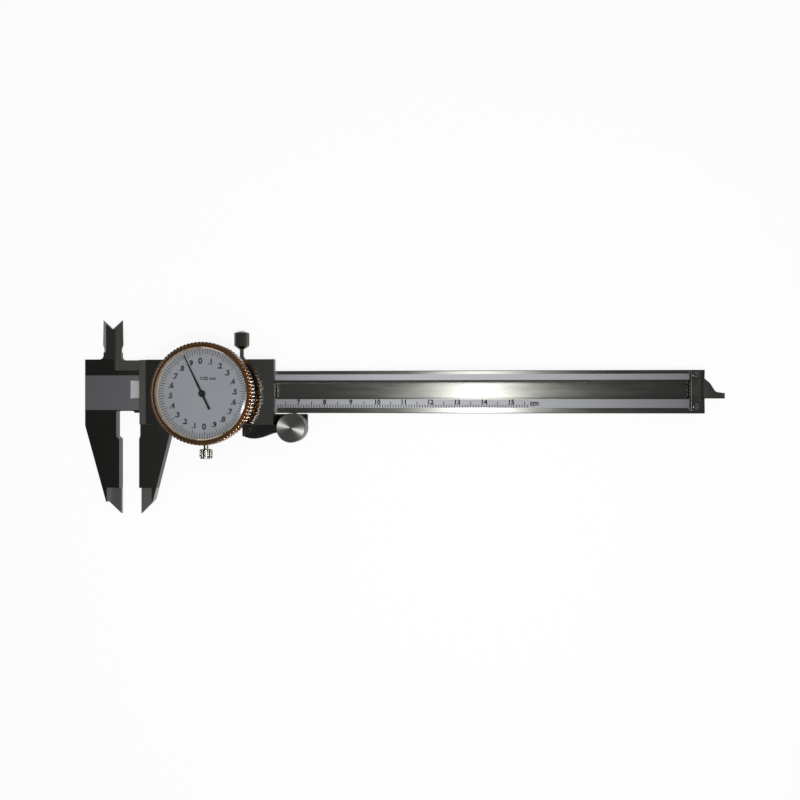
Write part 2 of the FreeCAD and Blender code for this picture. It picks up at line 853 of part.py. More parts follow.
def gib_screws():
    length = slider_half_height - upper_wall_low + running_gap - gib_screw_sink
    half_slot = slot_width / 2
    reach = gib_screw_radius + overshoot
    screws = []
    for x in gib_screw_xs:
        screw = turned([
            (0, 0), (gib_screw_radius - gib_screw_point, 0), (gib_screw_radius, gib_screw_point),
            (gib_screw_radius, length), (0, length),
        ])
        slot = block(-reach, reach, -half_slot, half_slot, length - gib_screw_slot, length + overshoot)
        screw = screw.cut(slot)
        screws.append(stand(screw, (x, upper_wall_low - running_gap, lock_z), (0, 1, 0)))
    return group(screws)


# The dial's case and movement
def dial_case():
    base = ring(dial_x, dial_y, case_radius, case_opening, slab_front, slab_front + case_floor)
    wall = ring(dial_x, dial_y, case_radius, case_inner, slab_front, case_front)
    lug_low = dial_y - case_radius - case_lug_reach
    lug_high = dial_y - case_inner
    half = case_lug_width / 2
    lug = prism([
        (dial_x - half, lug_high), (dial_x - half, lug_low, case_lug_radius),
        (dial_x + half, lug_low, case_lug_radius), (dial_x + half, lug_high),
    ], slab_front, case_front)
    wall_middle = case_radius - case_wall / 2
    lug = lug.cut(disc(dial_x, dial_y, wall_middle, slab_front - overshoot, case_front + overshoot))
    body = join(base, wall, lug)
    clamp_hole = bore(clamp_neck_radius + shaft_gap, case_lug_reach + case_wall + overshoot,
                      (dial_x, dial_y - case_radius, clamp_height), (0, -1, 0))
    spring_room = ring(dial_x, dial_y, case_inner + spring_bite + running_gap, case_inner - overshoot,
                       spring_back - running_gap, spring_front + running_gap)
    tools = [clamp_hole, spring_room]
    for x, y in round_the_dial(case_screw_circle, case_screw_angles):
        tools.append(disc(x, y, small_shank_radius + thread_gap, slab_front - overshoot, case_front))
    return cut_away(body, tools)


def bezel_spring():
    """The split ring that holds the bezel down in the case. Its gap leaves room for the clamp screw."""
    outer = case_inner + spring_bite
    band = ring(dial_x, dial_y, outer, outer - spring_width, spring_back, spring_front)
    half = spring_split / 2
    return band.cut(block(dial_x - half, dial_x + half, dial_y - case_radius, dial_y, slab_front, bezel_top))


def small_screw():
    return cheese_screw(small_head_radius, small_head_height, small_shank_radius, small_screw_length)


def case_screws():
    places = round_the_dial(case_screw_circle, case_screw_angles)
    return copies_at(small_screw(), places, slab_front + case_floor)


def movement_screws():
    places = round_the_dial(movement_screw_circle, movement_screw_angles)
    return copies_at(small_screw(), places, movement_front)


def movement_plate():
    below = slab_front - overshoot
    above = movement_front + overshoot
    tools = [disc(x, y, bush_radius, below, above) for x, y in ((dial_x, dial_y), (pinion_x, pinion_y))]
    for x, y in round_the_dial(movement_screw_circle, movement_screw_angles):
        tools.append(disc(x, y, small_shank_radius + thread_gap, below, above))
    for x, y in round_the_dial(movement_window_circle, movement_window_angles):
        tools.append(disc(x, y, movement_window_radius, below, above))
    return cut_away(disc(dial_x, dial_y, movement_radius, slab_front, movement_front), tools)


def pivot_bushes():
    """Four bushes, two for each arbor: one in the slider's web and one in the movement plate."""
    bushes = []
    for x, y in ((pinion_x, pinion_y), (dial_x, dial_y)):
        for low, high in ((plate_back, web_front), (slab_front, movement_front)):
            bushes.append(ring(x, y, bush_radius, arbor_radius + shaft_gap, low, high))
    return group(bushes)


def pinion_arbor():
    """The arbor that the rack turns: a pinion below the slider's web, and the seat of the wheels above it."""
    corners = gear_corners(pinion_teeth, pinion_module, 0.85 * pinion_module, 1.15 * pinion_module,
                           rack_backlash, pinion_turn(), pinion_x, pinion_y, 3)
    teeth = prism(corners, pinion_back, plate_back - end_gap)
    arbor = disc(pinion_x, pinion_y, arbor_radius, pinion_back, movement_front - end_gap)
    collar = disc(pinion_x, pinion_y, wheel_hub_radius, web_front + running_gap, wheel_back)
    return join(teeth, arbor, collar)


def sector(inner, outer, start, sweep, z_low, z_high):
    """A curved bar round the pinion's axis, from a start angle over a sweep in degrees."""
    band = ring(pinion_x, pinion_y, outer, inner, z_low, z_high)
    angles = [math.radians(start + share * sweep) for share in (0, 0.5, 1)]
    far = 3 * outer
    wedge = prism([(pinion_x, pinion_y)] + [polar(far, angle, pinion_x, pinion_y) for angle in angles],
                  z_low, z_high)
    return band.common(wedge)


def windowed_wheel(z_low):
    """One of the two wheels that drive the centre pinion. One tooth points at the dial's axis."""
    line = math.atan2(dial_y - pinion_y, dial_x - pinion_x)
    corners = gear_corners(wheel_teeth, wheel_module, 0.7 * wheel_module, 1.15 * wheel_module,
                           wheel_backlash, line, pinion_x, pinion_y, 1)
    z_high = z_low + wheel_thickness
    tools = [disc(pinion_x, pinion_y, arbor_radius + seat_gap, z_low - overshoot, z_high + overshoot)]
    for number in range(wheel_windows):
        tools.append(sector(wheel_window_inner, wheel_window_outer, 360 / wheel_windows * number,
                            wheel_window_angle, z_low - overshoot, z_high + overshoot))
    return cut_away(prism(corners, z_low, z_high), tools)


def main_wheel():
    return windowed_wheel(wheel_back)


def takeup_wheel():
    hub = ring(pinion_x, pinion_y, wheel_hub_radius, arbor_radius + seat_gap, takeup_front,
               takeup_front + takeup_hub_height)
    return join(windowed_wheel(takeup_back), hub)


def takeup_spring():
    """A bowed strip in one window of both wheels, which turns them apart to take up backlash."""
    middle = (wheel_window_inner + wheel_window_outer) / 2
    half = takeup_spring_width / 2
    sweep = wheel_window_angle - 2 * takeup_spring_spare
    return sector(middle - half, middle + half, takeup_spring_spare, sweep, wheel_back, takeup_front)


def centre_pinion():
    """The pointer's arbor with its pinion, whose tooth space faces the wheels."""
    turn = math.atan2(pinion_y - dial_y, pinion_x - dial_x) + math.pi / centre_teeth
    corners = gear_corners(centre_teeth, wheel_module, 0.9 * wheel_module, 1.2 * wheel_module,
                           wheel_backlash, turn, dial_x, dial_y, 3)
    teeth = prism(corners, centre_pinion_back, centre_pinion_front)
    arbor = disc(dial_x, dial_y, arbor_radius, plate_back + end_gap, pointer_front + arbor_stub)
    return join(teeth, arbor)


def pointer():
    """The pointer, drawn up the Y axis and turned to the reading of the drawn opening."""
    right_side = [
        (pointer_tip_half, pointer_tip - pointer_point), (pointer_root_half, 0),
        (tail_neck_half, -pointer_tail + tail_length), (tail_pad_half, -pointer_tail + tail_break),
        (tail_pad_half - tail_break, -pointer_tail),
    ]
    left_side = [(-x, y) for x, y in reversed(right_side)]
    needle = prism([(0, pointer_tip)] + right_side + left_side, pointer_back, pointer_front)
    hub = turned([
        (0, 0), (pointer_hub_radius - hub_edge_radius, 0), (pointer_hub_radius, hub_edge_height),
        (pointer_hub_radius, pointer_hub_height - hub_edge_height),
        (pointer_hub_radius - hub_edge_radius, pointer_hub_height), (0, pointer_hub_height),
    ], (0, 0, pointer_back - pointer_hub_sink))
    body = join(needle, hub).cut(disc(0, 0, arbor_radius + seat_gap, dial_front, crystal_back))
    body.rotate(point(0, 0, 0), point(0, 0, 1), pointer_turn)
    body.translate(point(dial_x, dial_y, 0))
    return body


# The turning dial
def bezel():
    """A knurled band, a sloped front that holds the crystal, and a skirt that turns inside the case."""
    core = bezel_radius - bezel_ridge_height - end_gap
    shoulder = bezel_radius - bezel_shoulder_inset
    body = turned([
        (skirt_inner, bezel_skirt_low), (skirt_radius, bezel_skirt_low), (skirt_radius, bezel_knurl_low),
        (core, bezel_knurl_low), (core, bezel_knurl_high - bezel_knurl_bevel),
        (shoulder, bezel_knurl_high - bezel_knurl_bevel),
        (shoulder, bezel_knurl_high + bezel_shoulder_height),
        (bezel_radius - bezel_slope_inset, bezel_top - bezel_slope_drop),
        (bezel_radius - bezel_round_inset, bezel_top), (bezel_opening + bezel_lip_break, bezel_top),
        (bezel_opening, bezel_top - bezel_lip_break), (bezel_opening, crystal_front),
        (dial_seat_radius, crystal_front), (dial_seat_radius, dial_back), (skirt_inner, dial_back),
    ], (dial_x, dial_y, 0))
    ridges = Part.Face(ridged_wire(bezel_radius, bezel_ridge_height, bezel_ridge_count, dial_x, dial_y))
    knurl = ridges.extrude(point(0, 0, bezel_knurl_high - bezel_knurl_low))
    knurl.translate(point(0, 0, bezel_knurl_low))
    knurl = knurl.common(turned([
        (0, bezel_knurl_low), (bezel_radius - bezel_knurl_bevel, bezel_knurl_low),
        (bezel_radius, bezel_knurl_low + bezel_knurl_bevel),
        (bezel_radius, bezel_knurl_high - bezel_knurl_bevel),
        (bezel_radius - bezel_knurl_bevel, bezel_knurl_high), (0, bezel_knurl_high),
    ], (dial_x, dial_y, 0)))
    middle_radius = (core + dial_seat_radius) / 2
    knurl = knurl.cut(disc(dial_x, dial_y, middle_radius, bezel_knurl_low - overshoot,
                           bezel_knurl_high + overshoot))
    spring_inner = case_inner + spring_bite - spring_width
    spring_room = ring(dial_x, dial_y, skirt_radius + overshoot, spring_inner - running_gap,
                       spring_back - 2 * running_gap, spring_front + 2 * running_gap)
    return cut_away(join(body, knurl), [spring_room])


def dial_face():
    return ring(dial_x, dial_y, dial_seat_radius - seat_gap, bush_radius, dial_back, dial_front)


def crystal_ring():
    """The pale ring that stands on the dial's rim and carries the crystal."""
    outer = dial_seat_radius - seat_gap
    return ring(dial_x, dial_y, outer, outer - crystal_ring_width, dial_front, crystal_back)


def crystal():
    """The clear cover, flat inside and slightly domed outside, with a round edge and a flange."""
    rim = bezel_opening - seat_gap
    flange = dial_seat_radius - seat_gap
    half_angle = crystal_round_angle / 2
    shoulder = rim - crystal_round * math.sin(crystal_round_angle)
    shoulder_z = crystal_front + crystal_round * (1 - math.cos(crystal_round_angle))
    round_middle = point(shoulder + crystal_round * math.sin(half_angle), 0,
                         shoulder_z - crystal_round * (1 - math.cos(half_angle)))
    top = point(0, 0, shoulder_z + crystal_dome)
    dome_radius = (shoulder ** 2 + crystal_dome ** 2) / (2 * crystal_dome)
    half_dome = math.asin(shoulder / dome_radius) / 2
    dome_middle = point(dome_radius * math.sin(half_dome), 0,
                        top.z - dome_radius * (1 - math.cos(half_dome)))
    edge = point(shoulder, 0, shoulder_z)
    outline = Part.makePolygon([
        top, point(0, 0, crystal_back), point(flange, 0, crystal_back), point(flange, 0, crystal_front),
        point(rim, 0, crystal_front),
    ])
    arcs = [Part.Arc(point(rim, 0, crystal_front), round_middle, edge).toShape(),
            Part.Arc(edge, dome_middle, top).toShape()]
    face = Part.Face(Part.Wire(outline.Edges + arcs))
    return stand(face.revolve(point(0, 0, 0), point(0, 0, 1), 360), (dial_x, dial_y, 0), (0, 0, 1))


# Thumb screws
def bezel_clamp_screw():
    point_y = case_inner + running_gap
    end = clamp_head_start + clamp_head_length
    body = turned([
        (0, point_y), (clamp_neck_radius - clamp_point, point_y), (clamp_neck_radius, point_y + clamp_point),
        (clamp_neck_radius, clamp_head_start), (clamp_head_radius - clamp_edge, clamp_head_start),
        (clamp_head_radius, clamp_head_start + clamp_edge), (clamp_head_radius, end - clamp_edge),
        (clamp_head_radius - clamp_edge, end), (0, end),
    ])
    grooves = flutes(clamp_head_radius, clamp_head_start - overshoot, end + overshoot, clamp_flutes,
                     clamp_flute_radius)
    return stand(body.cut(grooves), (dial_x, dial_y, clamp_height), (0, -1, 0))


def lock_screw():
    point_y = beam_half + gib_thickness + 2 * running_gap
    cone_end = lock_head_start + lock_cone
    body = turned([
        (0, point_y), (lock_neck_radius, point_y), (lock_neck_radius, lock_head_start),
        (lock_neck_radius + lock_collar_width, lock_head_start), (lock_head_radius, cone_end),
        (lock_head_radius, lock_head_top - lock_crown_height), (lock_crown_radius, lock_head_top),
        (0, lock_head_top),
    ])
    grooves = flutes(lock_head_radius, cone_end + drill_spare, lock_head_top + overshoot, lock_flutes,
                     lock_flute_radius)
    return stand(body.cut(grooves), (lock_x, 0, lock_z), (0, 1, 0))


# The thumb roller and its bracket
def thumb_roller():
    rim = roller_radius - roller_notch_depth
    band_front = roller_front - roller_rim
    knurl = prism(notched_corners(roller_radius, roller_notch_depth, roller_notches, roller_x, roller_y),
                  roller_back + roller_rim, band_front)
    core = turned([
        (0, roller_back), (rim - roller_edge, roller_back), (rim, roller_back + roller_edge),
        (rim, band_front), (roller_radius, band_front), (roller_radius, roller_front - roller_edge),
        (roller_radius - roller_edge, roller_front), (roller_dimple, roller_front),
        (0, roller_front - roller_dimple),
    ], (roller_x, roller_y, 0))
    hole_floor = roller_back + axle_reach + drill_spare
    return cut_away(join(knurl, core), [
        disc(roller_x, roller_y, axle_radius + shaft_gap, roller_back - overshoot, hole_floor),
    ])


def roller_axle():
    head = disc(roller_x, roller_y, axle_head_radius, cover_back, cover_back + axle_head_height)
    pin = disc(roller_x, roller_y, axle_radius, cover_back, roller_back + axle_reach)
    return join(head, pin)


def thumb_rest():
    """The rest under the slider: a serrated round for the thumb, which runs out in a hollow by the roller."""
    low = -slider_half_height - rest_depth
    arc_x = bracket_start + rest_arc_start
    arc_y = low + rest_arc_radius
    bend_x = arc_x + rest_bend
    bend_y = arc_y - math.sqrt(rest_arc_radius ** 2 - rest_bend ** 2)
    end = bracket_start + rest_length
    hollow_y = -slider_half_height - rest_hollow_depth
    back = arm_front - rest_sink
    rest = block(bracket_start, bend_x, low, -slider_half_height, back, bracket_front)
    rest = rest.common(disc(arc_x, arc_y, rest_arc_radius, back, bracket_front))
    hollow = prism([
        (bend_x, -slider_half_height), (bend_x, bend_y),
        (end - rest_hollow_length, hollow_y, rest_hollow_radius), (end, hollow_y), (end, -slider_half_height),
    ], back, bracket_front)
    rest = join(rest, hollow)
    grooves = []
    for number in range(serrations):
        angle = -math.pi / 2 + (number * serration_pitch - serration_lead) / rest_arc_radius
        x, y = polar(rest_arc_radius, angle, arc_x, arc_y)
        grooves.append(disc(x, y, serration_radius, back - overshoot, bracket_front + overshoot))
    return rest.cut(grooves)


def roller_bracket():
    """The black bracket: a foot let into the cover, the thumb rest, and an arm behind the roller."""
    rest_end = bracket_start + rest_length
    roller_low = roller_y - arm_half_width
    arm = prism([
        (bracket_start, bracket_top), (bracket_start, -slider_half_height - arm_start_drop),
        (rest_end - overshoot, -slider_half_height - arm_rest_drop, arm_bend_radius),
        (roller_x - arm_shoulder_x, roller_low, arm_shoulder_radius),
        (bracket_end, roller_low, arm_half_width),
        (bracket_end, bracket_top, bracket_corner),
    ], cover_back, arm_front)
    foot = block(bracket_start, slider_length, -slider_half_height, bracket_top, cover_back, slider_back)
    slider_room = block(bracket_start - overshoot, slider_length, -slider_half_height, 0, slider_back,
                        bracket_front + overshoot)
    body = join(arm, foot, thumb_rest()).cut(slider_room)
    depth = cover_thickness + overshoot
    screw_hole = countersunk_screw(cover_head_radius, cover_shank_radius, depth, thread_gap)
    return cut_away(body, [
        disc(roller_x, roller_y, axle_radius + seat_gap, cover_back - overshoot, arm_front + overshoot),
        disc(roller_x, roller_y, axle_head_radius + seat_gap, cover_back - overshoot,
             cover_back + axle_head_height),
        facing_back(screw_hole, [(x, bracket_screw_y) for x in bracket_screw_xs]),
    ])


def bracket_screws():
    screw = countersunk_screw(cover_head_radius, cover_shank_radius, cover_thickness + cover_screw_grip)
    return facing_back(screw, [(x, bracket_screw_y) for x in bracket_screw_xs])


# The pieces that stay with the beam, and the pieces that travel with the slider
beam_pieces = {
    "main_beam": main_beam(),
    "rack": rack(),
    "end_stop": end_stop(),
    "end_stop_screws": end_stop_screws(),
}
slider_pieces = {
    "slider_frame": slider_frame(),
    "back_cover": back_cover(),
    "back_cover_screws": back_cover_screws(),
    "gib": gib(),
    "gib_screws": gib_screws(),
    "depth_rod": depth_rod(),
    "depth_rod_screws": depth_rod_screws(),
    "dial_case": dial_case(),
    "case_screws": case_screws(),
    "bezel_spring": bezel_spring(),
    "movement_plate": movement_plate(),
    "movement_screws": movement_screws(),
    "pivot_bushes": pivot_bushes(),
    "roller_bracket": roller_bracket(),
    "bracket_screws": bracket_screws(),
    "roller_axle": roller_axle(),
    "pinion_arbor": pinion_arbor(),
    "main_wheel": main_wheel(),
    "takeup_wheel": takeup_wheel(),
    "takeup_spring": takeup_spring(),
    "centre_pinion": centre_pinion(),
    "pointer": pointer(),
    "bezel": bezel(),
    "dial_face": dial_face(),
    "crystal_ring": crystal_ring(),
    "crystal": crystal(),
    "bezel_clamp_screw": bezel_clamp_screw(),
    "lock_screw": lock_screw(),
    "thumb_roller": thumb_roller(),
}
for shape in slider_pieces.values():
    shape.translate(point(opening_at_rest, 0, 0))

# The origin of the finished part is the middle of the lowest face of its box
pieces = {**beam_pieces, **slider_pieces}
bounds = group(pieces.values()).BoundBox
origin = point((bounds.XMin + bounds.XMax) / 2, (bounds.YMin + bounds.YMax) / 2, bounds.ZMin)

os.makedirs("parts", exist_ok=True)
for name, shape in pieces.items():
    shape.translate(origin * -1)
    shape.exportStep(f"parts/{name}.step")
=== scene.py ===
import json
import math

import bmesh
import bpy
from bpy.props import FloatProperty, FloatVectorProperty, IntProperty, PointerProperty
from mathutils import Matrix, Vector


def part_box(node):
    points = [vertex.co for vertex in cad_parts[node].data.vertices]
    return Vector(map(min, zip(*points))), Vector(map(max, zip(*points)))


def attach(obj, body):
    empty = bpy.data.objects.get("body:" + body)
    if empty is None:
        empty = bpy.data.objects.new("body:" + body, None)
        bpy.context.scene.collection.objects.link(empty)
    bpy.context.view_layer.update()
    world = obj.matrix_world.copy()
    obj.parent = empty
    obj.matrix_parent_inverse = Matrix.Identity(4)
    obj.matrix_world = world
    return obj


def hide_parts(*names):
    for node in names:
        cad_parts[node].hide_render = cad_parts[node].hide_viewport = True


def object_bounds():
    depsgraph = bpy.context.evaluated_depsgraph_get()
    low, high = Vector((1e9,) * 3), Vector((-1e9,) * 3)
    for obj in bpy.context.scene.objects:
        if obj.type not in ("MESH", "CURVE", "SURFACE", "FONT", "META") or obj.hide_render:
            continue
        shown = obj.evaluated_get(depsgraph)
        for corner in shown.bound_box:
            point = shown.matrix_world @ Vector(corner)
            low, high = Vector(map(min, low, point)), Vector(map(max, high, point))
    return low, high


bl_info = {
    "name": "Dial Caliper",
    "version": (1, 0, 0),
    "blender": (4, 5, 0),
    "location": "3D View > Sidebar > Caliper",
    "description": "Finishes, scale and dial of a dial caliper, built around its solid model",
    "category": "Add Mesh",
}

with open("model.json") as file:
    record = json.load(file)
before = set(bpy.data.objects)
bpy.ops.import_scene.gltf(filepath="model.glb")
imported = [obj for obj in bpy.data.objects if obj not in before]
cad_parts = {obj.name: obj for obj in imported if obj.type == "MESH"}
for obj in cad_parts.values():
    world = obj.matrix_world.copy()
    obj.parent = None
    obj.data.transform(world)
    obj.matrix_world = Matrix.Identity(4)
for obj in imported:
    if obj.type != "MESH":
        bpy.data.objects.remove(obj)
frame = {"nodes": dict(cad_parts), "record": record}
cad_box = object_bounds()
nodes = frame["nodes"]


# Places on the caliper, in metres, read from the solid model
def mount(name):
    """The place of one of the caliper's named faces."""
    return Vector(next(face["pos_m"] for face in frame["record"]["mounts"] if face["name"] == name))


def middle(node):
    """The middle of a solid piece's box."""
    low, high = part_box(node)
    return (low + high) / 2


jaw_x = mount("fixed_jaw_face").x
centre_y = mount("rest_face").y
beam_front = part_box("main_beam")[1].z
dial_centre = middle("dial_face")
dial_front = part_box("dial_face")[1].z
roller_centre = middle("thumb_roller")
MM = 0.001

# Where the steel's finish changes, in millimetres. "along" is from the fixed jaw's face, "across" is from
# the beam's centre line, and "depth" is from the beam's front, with the deeper side negative.
BEAM_EDGE = 7.97
BLOCK_TOP = 12.65
UPPER_RAIL = (4.45, 6.63)
GROOVE = (-2.45, 4.45)
RAIL_START = 9.5
RAIL_END = 217.45
RAIL_FLOOR = -0.15
FIELD = (-6.9, 6.45)
RUN_OUT = (4.5, 11.0)
RUN_OUT_DEPTH = (-1.08, -0.01)
TIP_EDGE = -37.0
TIP_DEPTH = -0.4
LEDGE_DEPTH = (1.2, 1.4)
ARM_EDGE = 8.0
ARM_DEPTH = (-1.8, -1.5)

# Colours of the jaws' tips and of the groove's run-out
TIP_STEEL = (0.42, 0.42, 0.40)
RUN_OUT_STEEL = (0.58, 0.59, 0.62)

# The knurled bezel and the crystal, in metres
RIDGES = 84
FACES_PER_RIDGE = 8
RIDGE_HEIGHT = 0.34 * MM
KNURL_DROP = 2.3 * MM
BROW_DROP = 1.0 * MM
BROW_ROUND = 0.5 * MM
SLOPE_START = 0.7 * MM
SLOPE_END = 1.25 * MM
KNURL_INNER = 0.8 * MM
CRYSTAL_FLANGE = 0.8 * MM
CRYSTAL_RIM = 0.35 * MM
CRYSTAL_ROUND = 6.5 * MM
CRYSTAL_LEAN = math.radians(24)
CRYSTAL_STEPS = 16
CRYSTAL_SIDES = 192

# The scale and the dial's print. Lengths are in metres, and strokes are shares of the text's size.
HAIR = 0.01 * MM
SCALE_GAP = 0.1 * MM
SCALE_SINK = 0.02 * MM
SCALE_STROKE = 0.035
UNIT_STROKE = 0.03
UNIT_GAP = 2.6 * MM
UNIT_RAISE = 0.2 * MM
DIGIT_TO_SMALL_LETTER = 1.33
PRINT_HEIGHT = 0.015 * MM
VALUE_PLACE = Vector((2.2, 5.7)) * MM
VALUE_HEIGHT = 1.15 * MM
VALUE_STROKE = 0.04
VALUE_PALER = 1.6

# The stage. The floor fades in mirrors between two distances in millimetres.
FLOOR_SIZE = 3.0
FLOOR_WHITE = 0.885
FLOOR_FADE = (250, 900)
FLOOR_FAR_SHARE = 0.12
FILL_ANGLE = math.radians(120)
CEILING_STARTS = math.cos(math.radians(62))
CEILING_FULL = math.cos(math.radians(34))
WALL_SPAN = (-0.7, 0.7)
CEILING_LEFT_SPAN = (-0.45, -0.2)
CEILING_RIGHT_SPAN = (0.0, 0.35)


# What a user may change
class CaliperScale(bpy.types.PropertyGroup):
    """The scale on the beam's lower rail"""
    first_line: IntProperty(name="First line", description="Millimetre at which the scale starts", default=10)
    last_line: IntProperty(name="Last line", description="Millimetre at which the scale ends", default=156)
    rail_low: FloatProperty(name="Rail, lower edge", description="From the beam's centre line",
                            default=-5.95 * MM, unit="LENGTH", precision=5)
    rail_high: FloatProperty(name="Rail, upper edge", description="From the beam's centre line",
                             default=-2.75 * MM, unit="LENGTH", precision=5)
    rail_depth: FloatProperty(name="Rail depth", description="How far the rail lies below the beam's front",
                              default=0.1 * MM, unit="LENGTH", precision=5)
    line_width: FloatProperty(name="Line width", description="Width of a graduation",
                              default=0.25 * MM, unit="LENGTH", precision=5)
    short_line: FloatProperty(name="Short line", description="Length of a millimetre's line",
                              default=1.1 * MM, unit="LENGTH", precision=5)
    long_line: FloatProperty(name="Long line", description="Length of a half centimetre's line",
                             default=2.2 * MM, unit="LENGTH", precision=5)
    number_height: FloatProperty(name="Number height", description="Height of the centimetre numbers",
                                 default=1.7 * MM, unit="LENGTH", precision=5)
    unit_height: FloatProperty(name="Unit height", description="Height of the unit's small letters",
                               default=1.4 * MM, unit="LENGTH", precision=5)
    colour: FloatVectorProperty(name="Colour", description="Filling of the lines", subtype="COLOR",
                                size=3, default=(0.012, 0.013, 0.015))


class CaliperDial(bpy.types.PropertyGroup):
    """The print on the dial's face"""
    divisions: IntProperty(name="Divisions", description="Graduations round the dial", default=100)
    zero_turn: FloatProperty(name="Zero turn", description="How far the dial is turned to the left",
                             default=math.radians(3.4), unit="ROTATION")
    line_outer: FloatProperty(name="Outer radius", description="Outer end of the graduations",
                              default=16.6 * MM, unit="LENGTH", precision=5)
    short_line: FloatProperty(name="Short line", description="Length of a graduation",
                              default=1.9 * MM, unit="LENGTH", precision=5)
    long_line: FloatProperty(name="Long line", description="Length of every fifth graduation",
                             default=2.6 * MM, unit="LENGTH", precision=5)
    line_width: FloatProperty(name="Line width", description="Width of a graduation",
                              default=0.22 * MM, unit="LENGTH", precision=5)
    number_radius: FloatProperty(name="Number radius", description="Circle that the numbers stand on",
                                 default=12.2 * MM, unit="LENGTH", precision=5)
    number_height: FloatProperty(name="Number height", description="Height of the dial's numbers",
                                 default=1.85 * MM, unit="LENGTH", precision=5)
    zero_height: FloatProperty(name="Zero height", description="Height of the two zeros",
                               default=2.1 * MM, unit="LENGTH", precision=5)
    stroke: FloatProperty(name="Stroke", description="How much the strokes of the numbers are thickened",
                          default=0.045)
    face_colour: FloatVectorProperty(name="Face", description="Paint of the dial's face", subtype="COLOR",
                                     size=3, default=(0.37, 0.376, 0.40))
    print_colour: FloatVectorProperty(name="Print", description="Ink of the graduations and numbers",
                                      subtype="COLOR", size=3, default=(0.035, 0.04, 0.05))


class CaliperFinish(bpy.types.PropertyGroup):
    """The colours of the caliper's metals and paints"""
    steel: FloatVectorProperty(name="Polished steel", description="Colour of the polished steel",
                               subtype="COLOR", size=3, default=(0.50, 0.50, 0.46))
    # Painted shade: how far the side faces of the steel are darkened beside the front
    painted_side_shade: FloatProperty(name="Side faces", description="How bright the sides are beside the front",
                              default=0.2)
    satin: FloatVectorProperty(name="Satin steel", description="Colour of the beam's satin rails",
                               subtype="COLOR", size=3, default=(0.76, 0.77, 0.81))
    nickel: FloatVectorProperty(name="Nickel", description="Colour of the plated screws",
                                subtype="COLOR", size=3, default=(0.55, 0.53, 0.47))
    copper: FloatVectorProperty(name="Copper", description="Colour of the anodised bezel",
                                subtype="COLOR", size=3, default=(0.83, 0.34, 0.09))
    brass: FloatVectorProperty(name="Brass", description="Colour of the movement",
                               subtype="COLOR", size=3, default=(0.80, 0.60, 0.25))
    black: FloatVectorProperty(name="Black", description="Colour of the black parts",
                               subtype="COLOR", size=3, default=(0.006, 0.006, 0.006))


class CaliperStage(bpy.types.PropertyGroup):
    """The camera, the lamps and the room"""
    distance: FloatProperty(name="Camera distance", description="From the beam's front, along the view",
                            default=266.8 * MM, unit="LENGTH", precision=4)
    lean: FloatProperty(name="Camera lean", description="How far the camera stands to the right of the part",
                        default=math.radians(3.8), unit="ROTATION")
    aim_x: FloatProperty(name="Aim along the beam", description="From the fixed jaw's face",
                         default=108.6 * MM, unit="LENGTH", precision=4)
    aim_y: FloatProperty(name="Aim across the beam", description="From the beam's centre line",
                         default=-3.04 * MM, unit="LENGTH", precision=4)
    focal: FloatProperty(name="Focal length", description="In millimetres, on a 36 mm sensor", default=31.95)
    lamp_x: FloatProperty(name="Lamp along the beam", description="From the aim point",
                          default=41 * MM, unit="LENGTH", precision=4)
    lamp_y: FloatProperty(name="Lamp across the beam", description="From the aim point",
                          default=-65 * MM, unit="LENGTH", precision=4)
    lamp_height: FloatProperty(name="Lamp height", description="Above the beam's front",
                               default=266 * MM, unit="LENGTH", precision=4)
    lamp_size: FloatProperty(name="Lamp size", description="Across the lamp", default=45 * MM,
                             unit="LENGTH", precision=4)
    lamp_power: FloatProperty(name="Lamp power", description="In watts", default=0.26)
    fill_strength: FloatProperty(name="Fill", description="Soft light from all over the ceiling, in W/m2",
                                 default=1.6)
    wall_left: FloatProperty(name="Left wall", description="Brightness of the room on the left",
                             default=0.08)
    wall_right: FloatProperty(name="Right wall", description="Brightness of the room on the right",
                              default=0.22)
    ceiling_left: FloatProperty(name="Ceiling, left", description="Brightness overhead on the left",
                                default=0.024)
    ceiling_middle: FloatProperty(name="Ceiling, middle", description="Brightness overhead in the middle",
                                  default=0.082)
    ceiling_right: FloatProperty(name="Ceiling, right", description="Brightness overhead on the right",
                                 default=0.036)


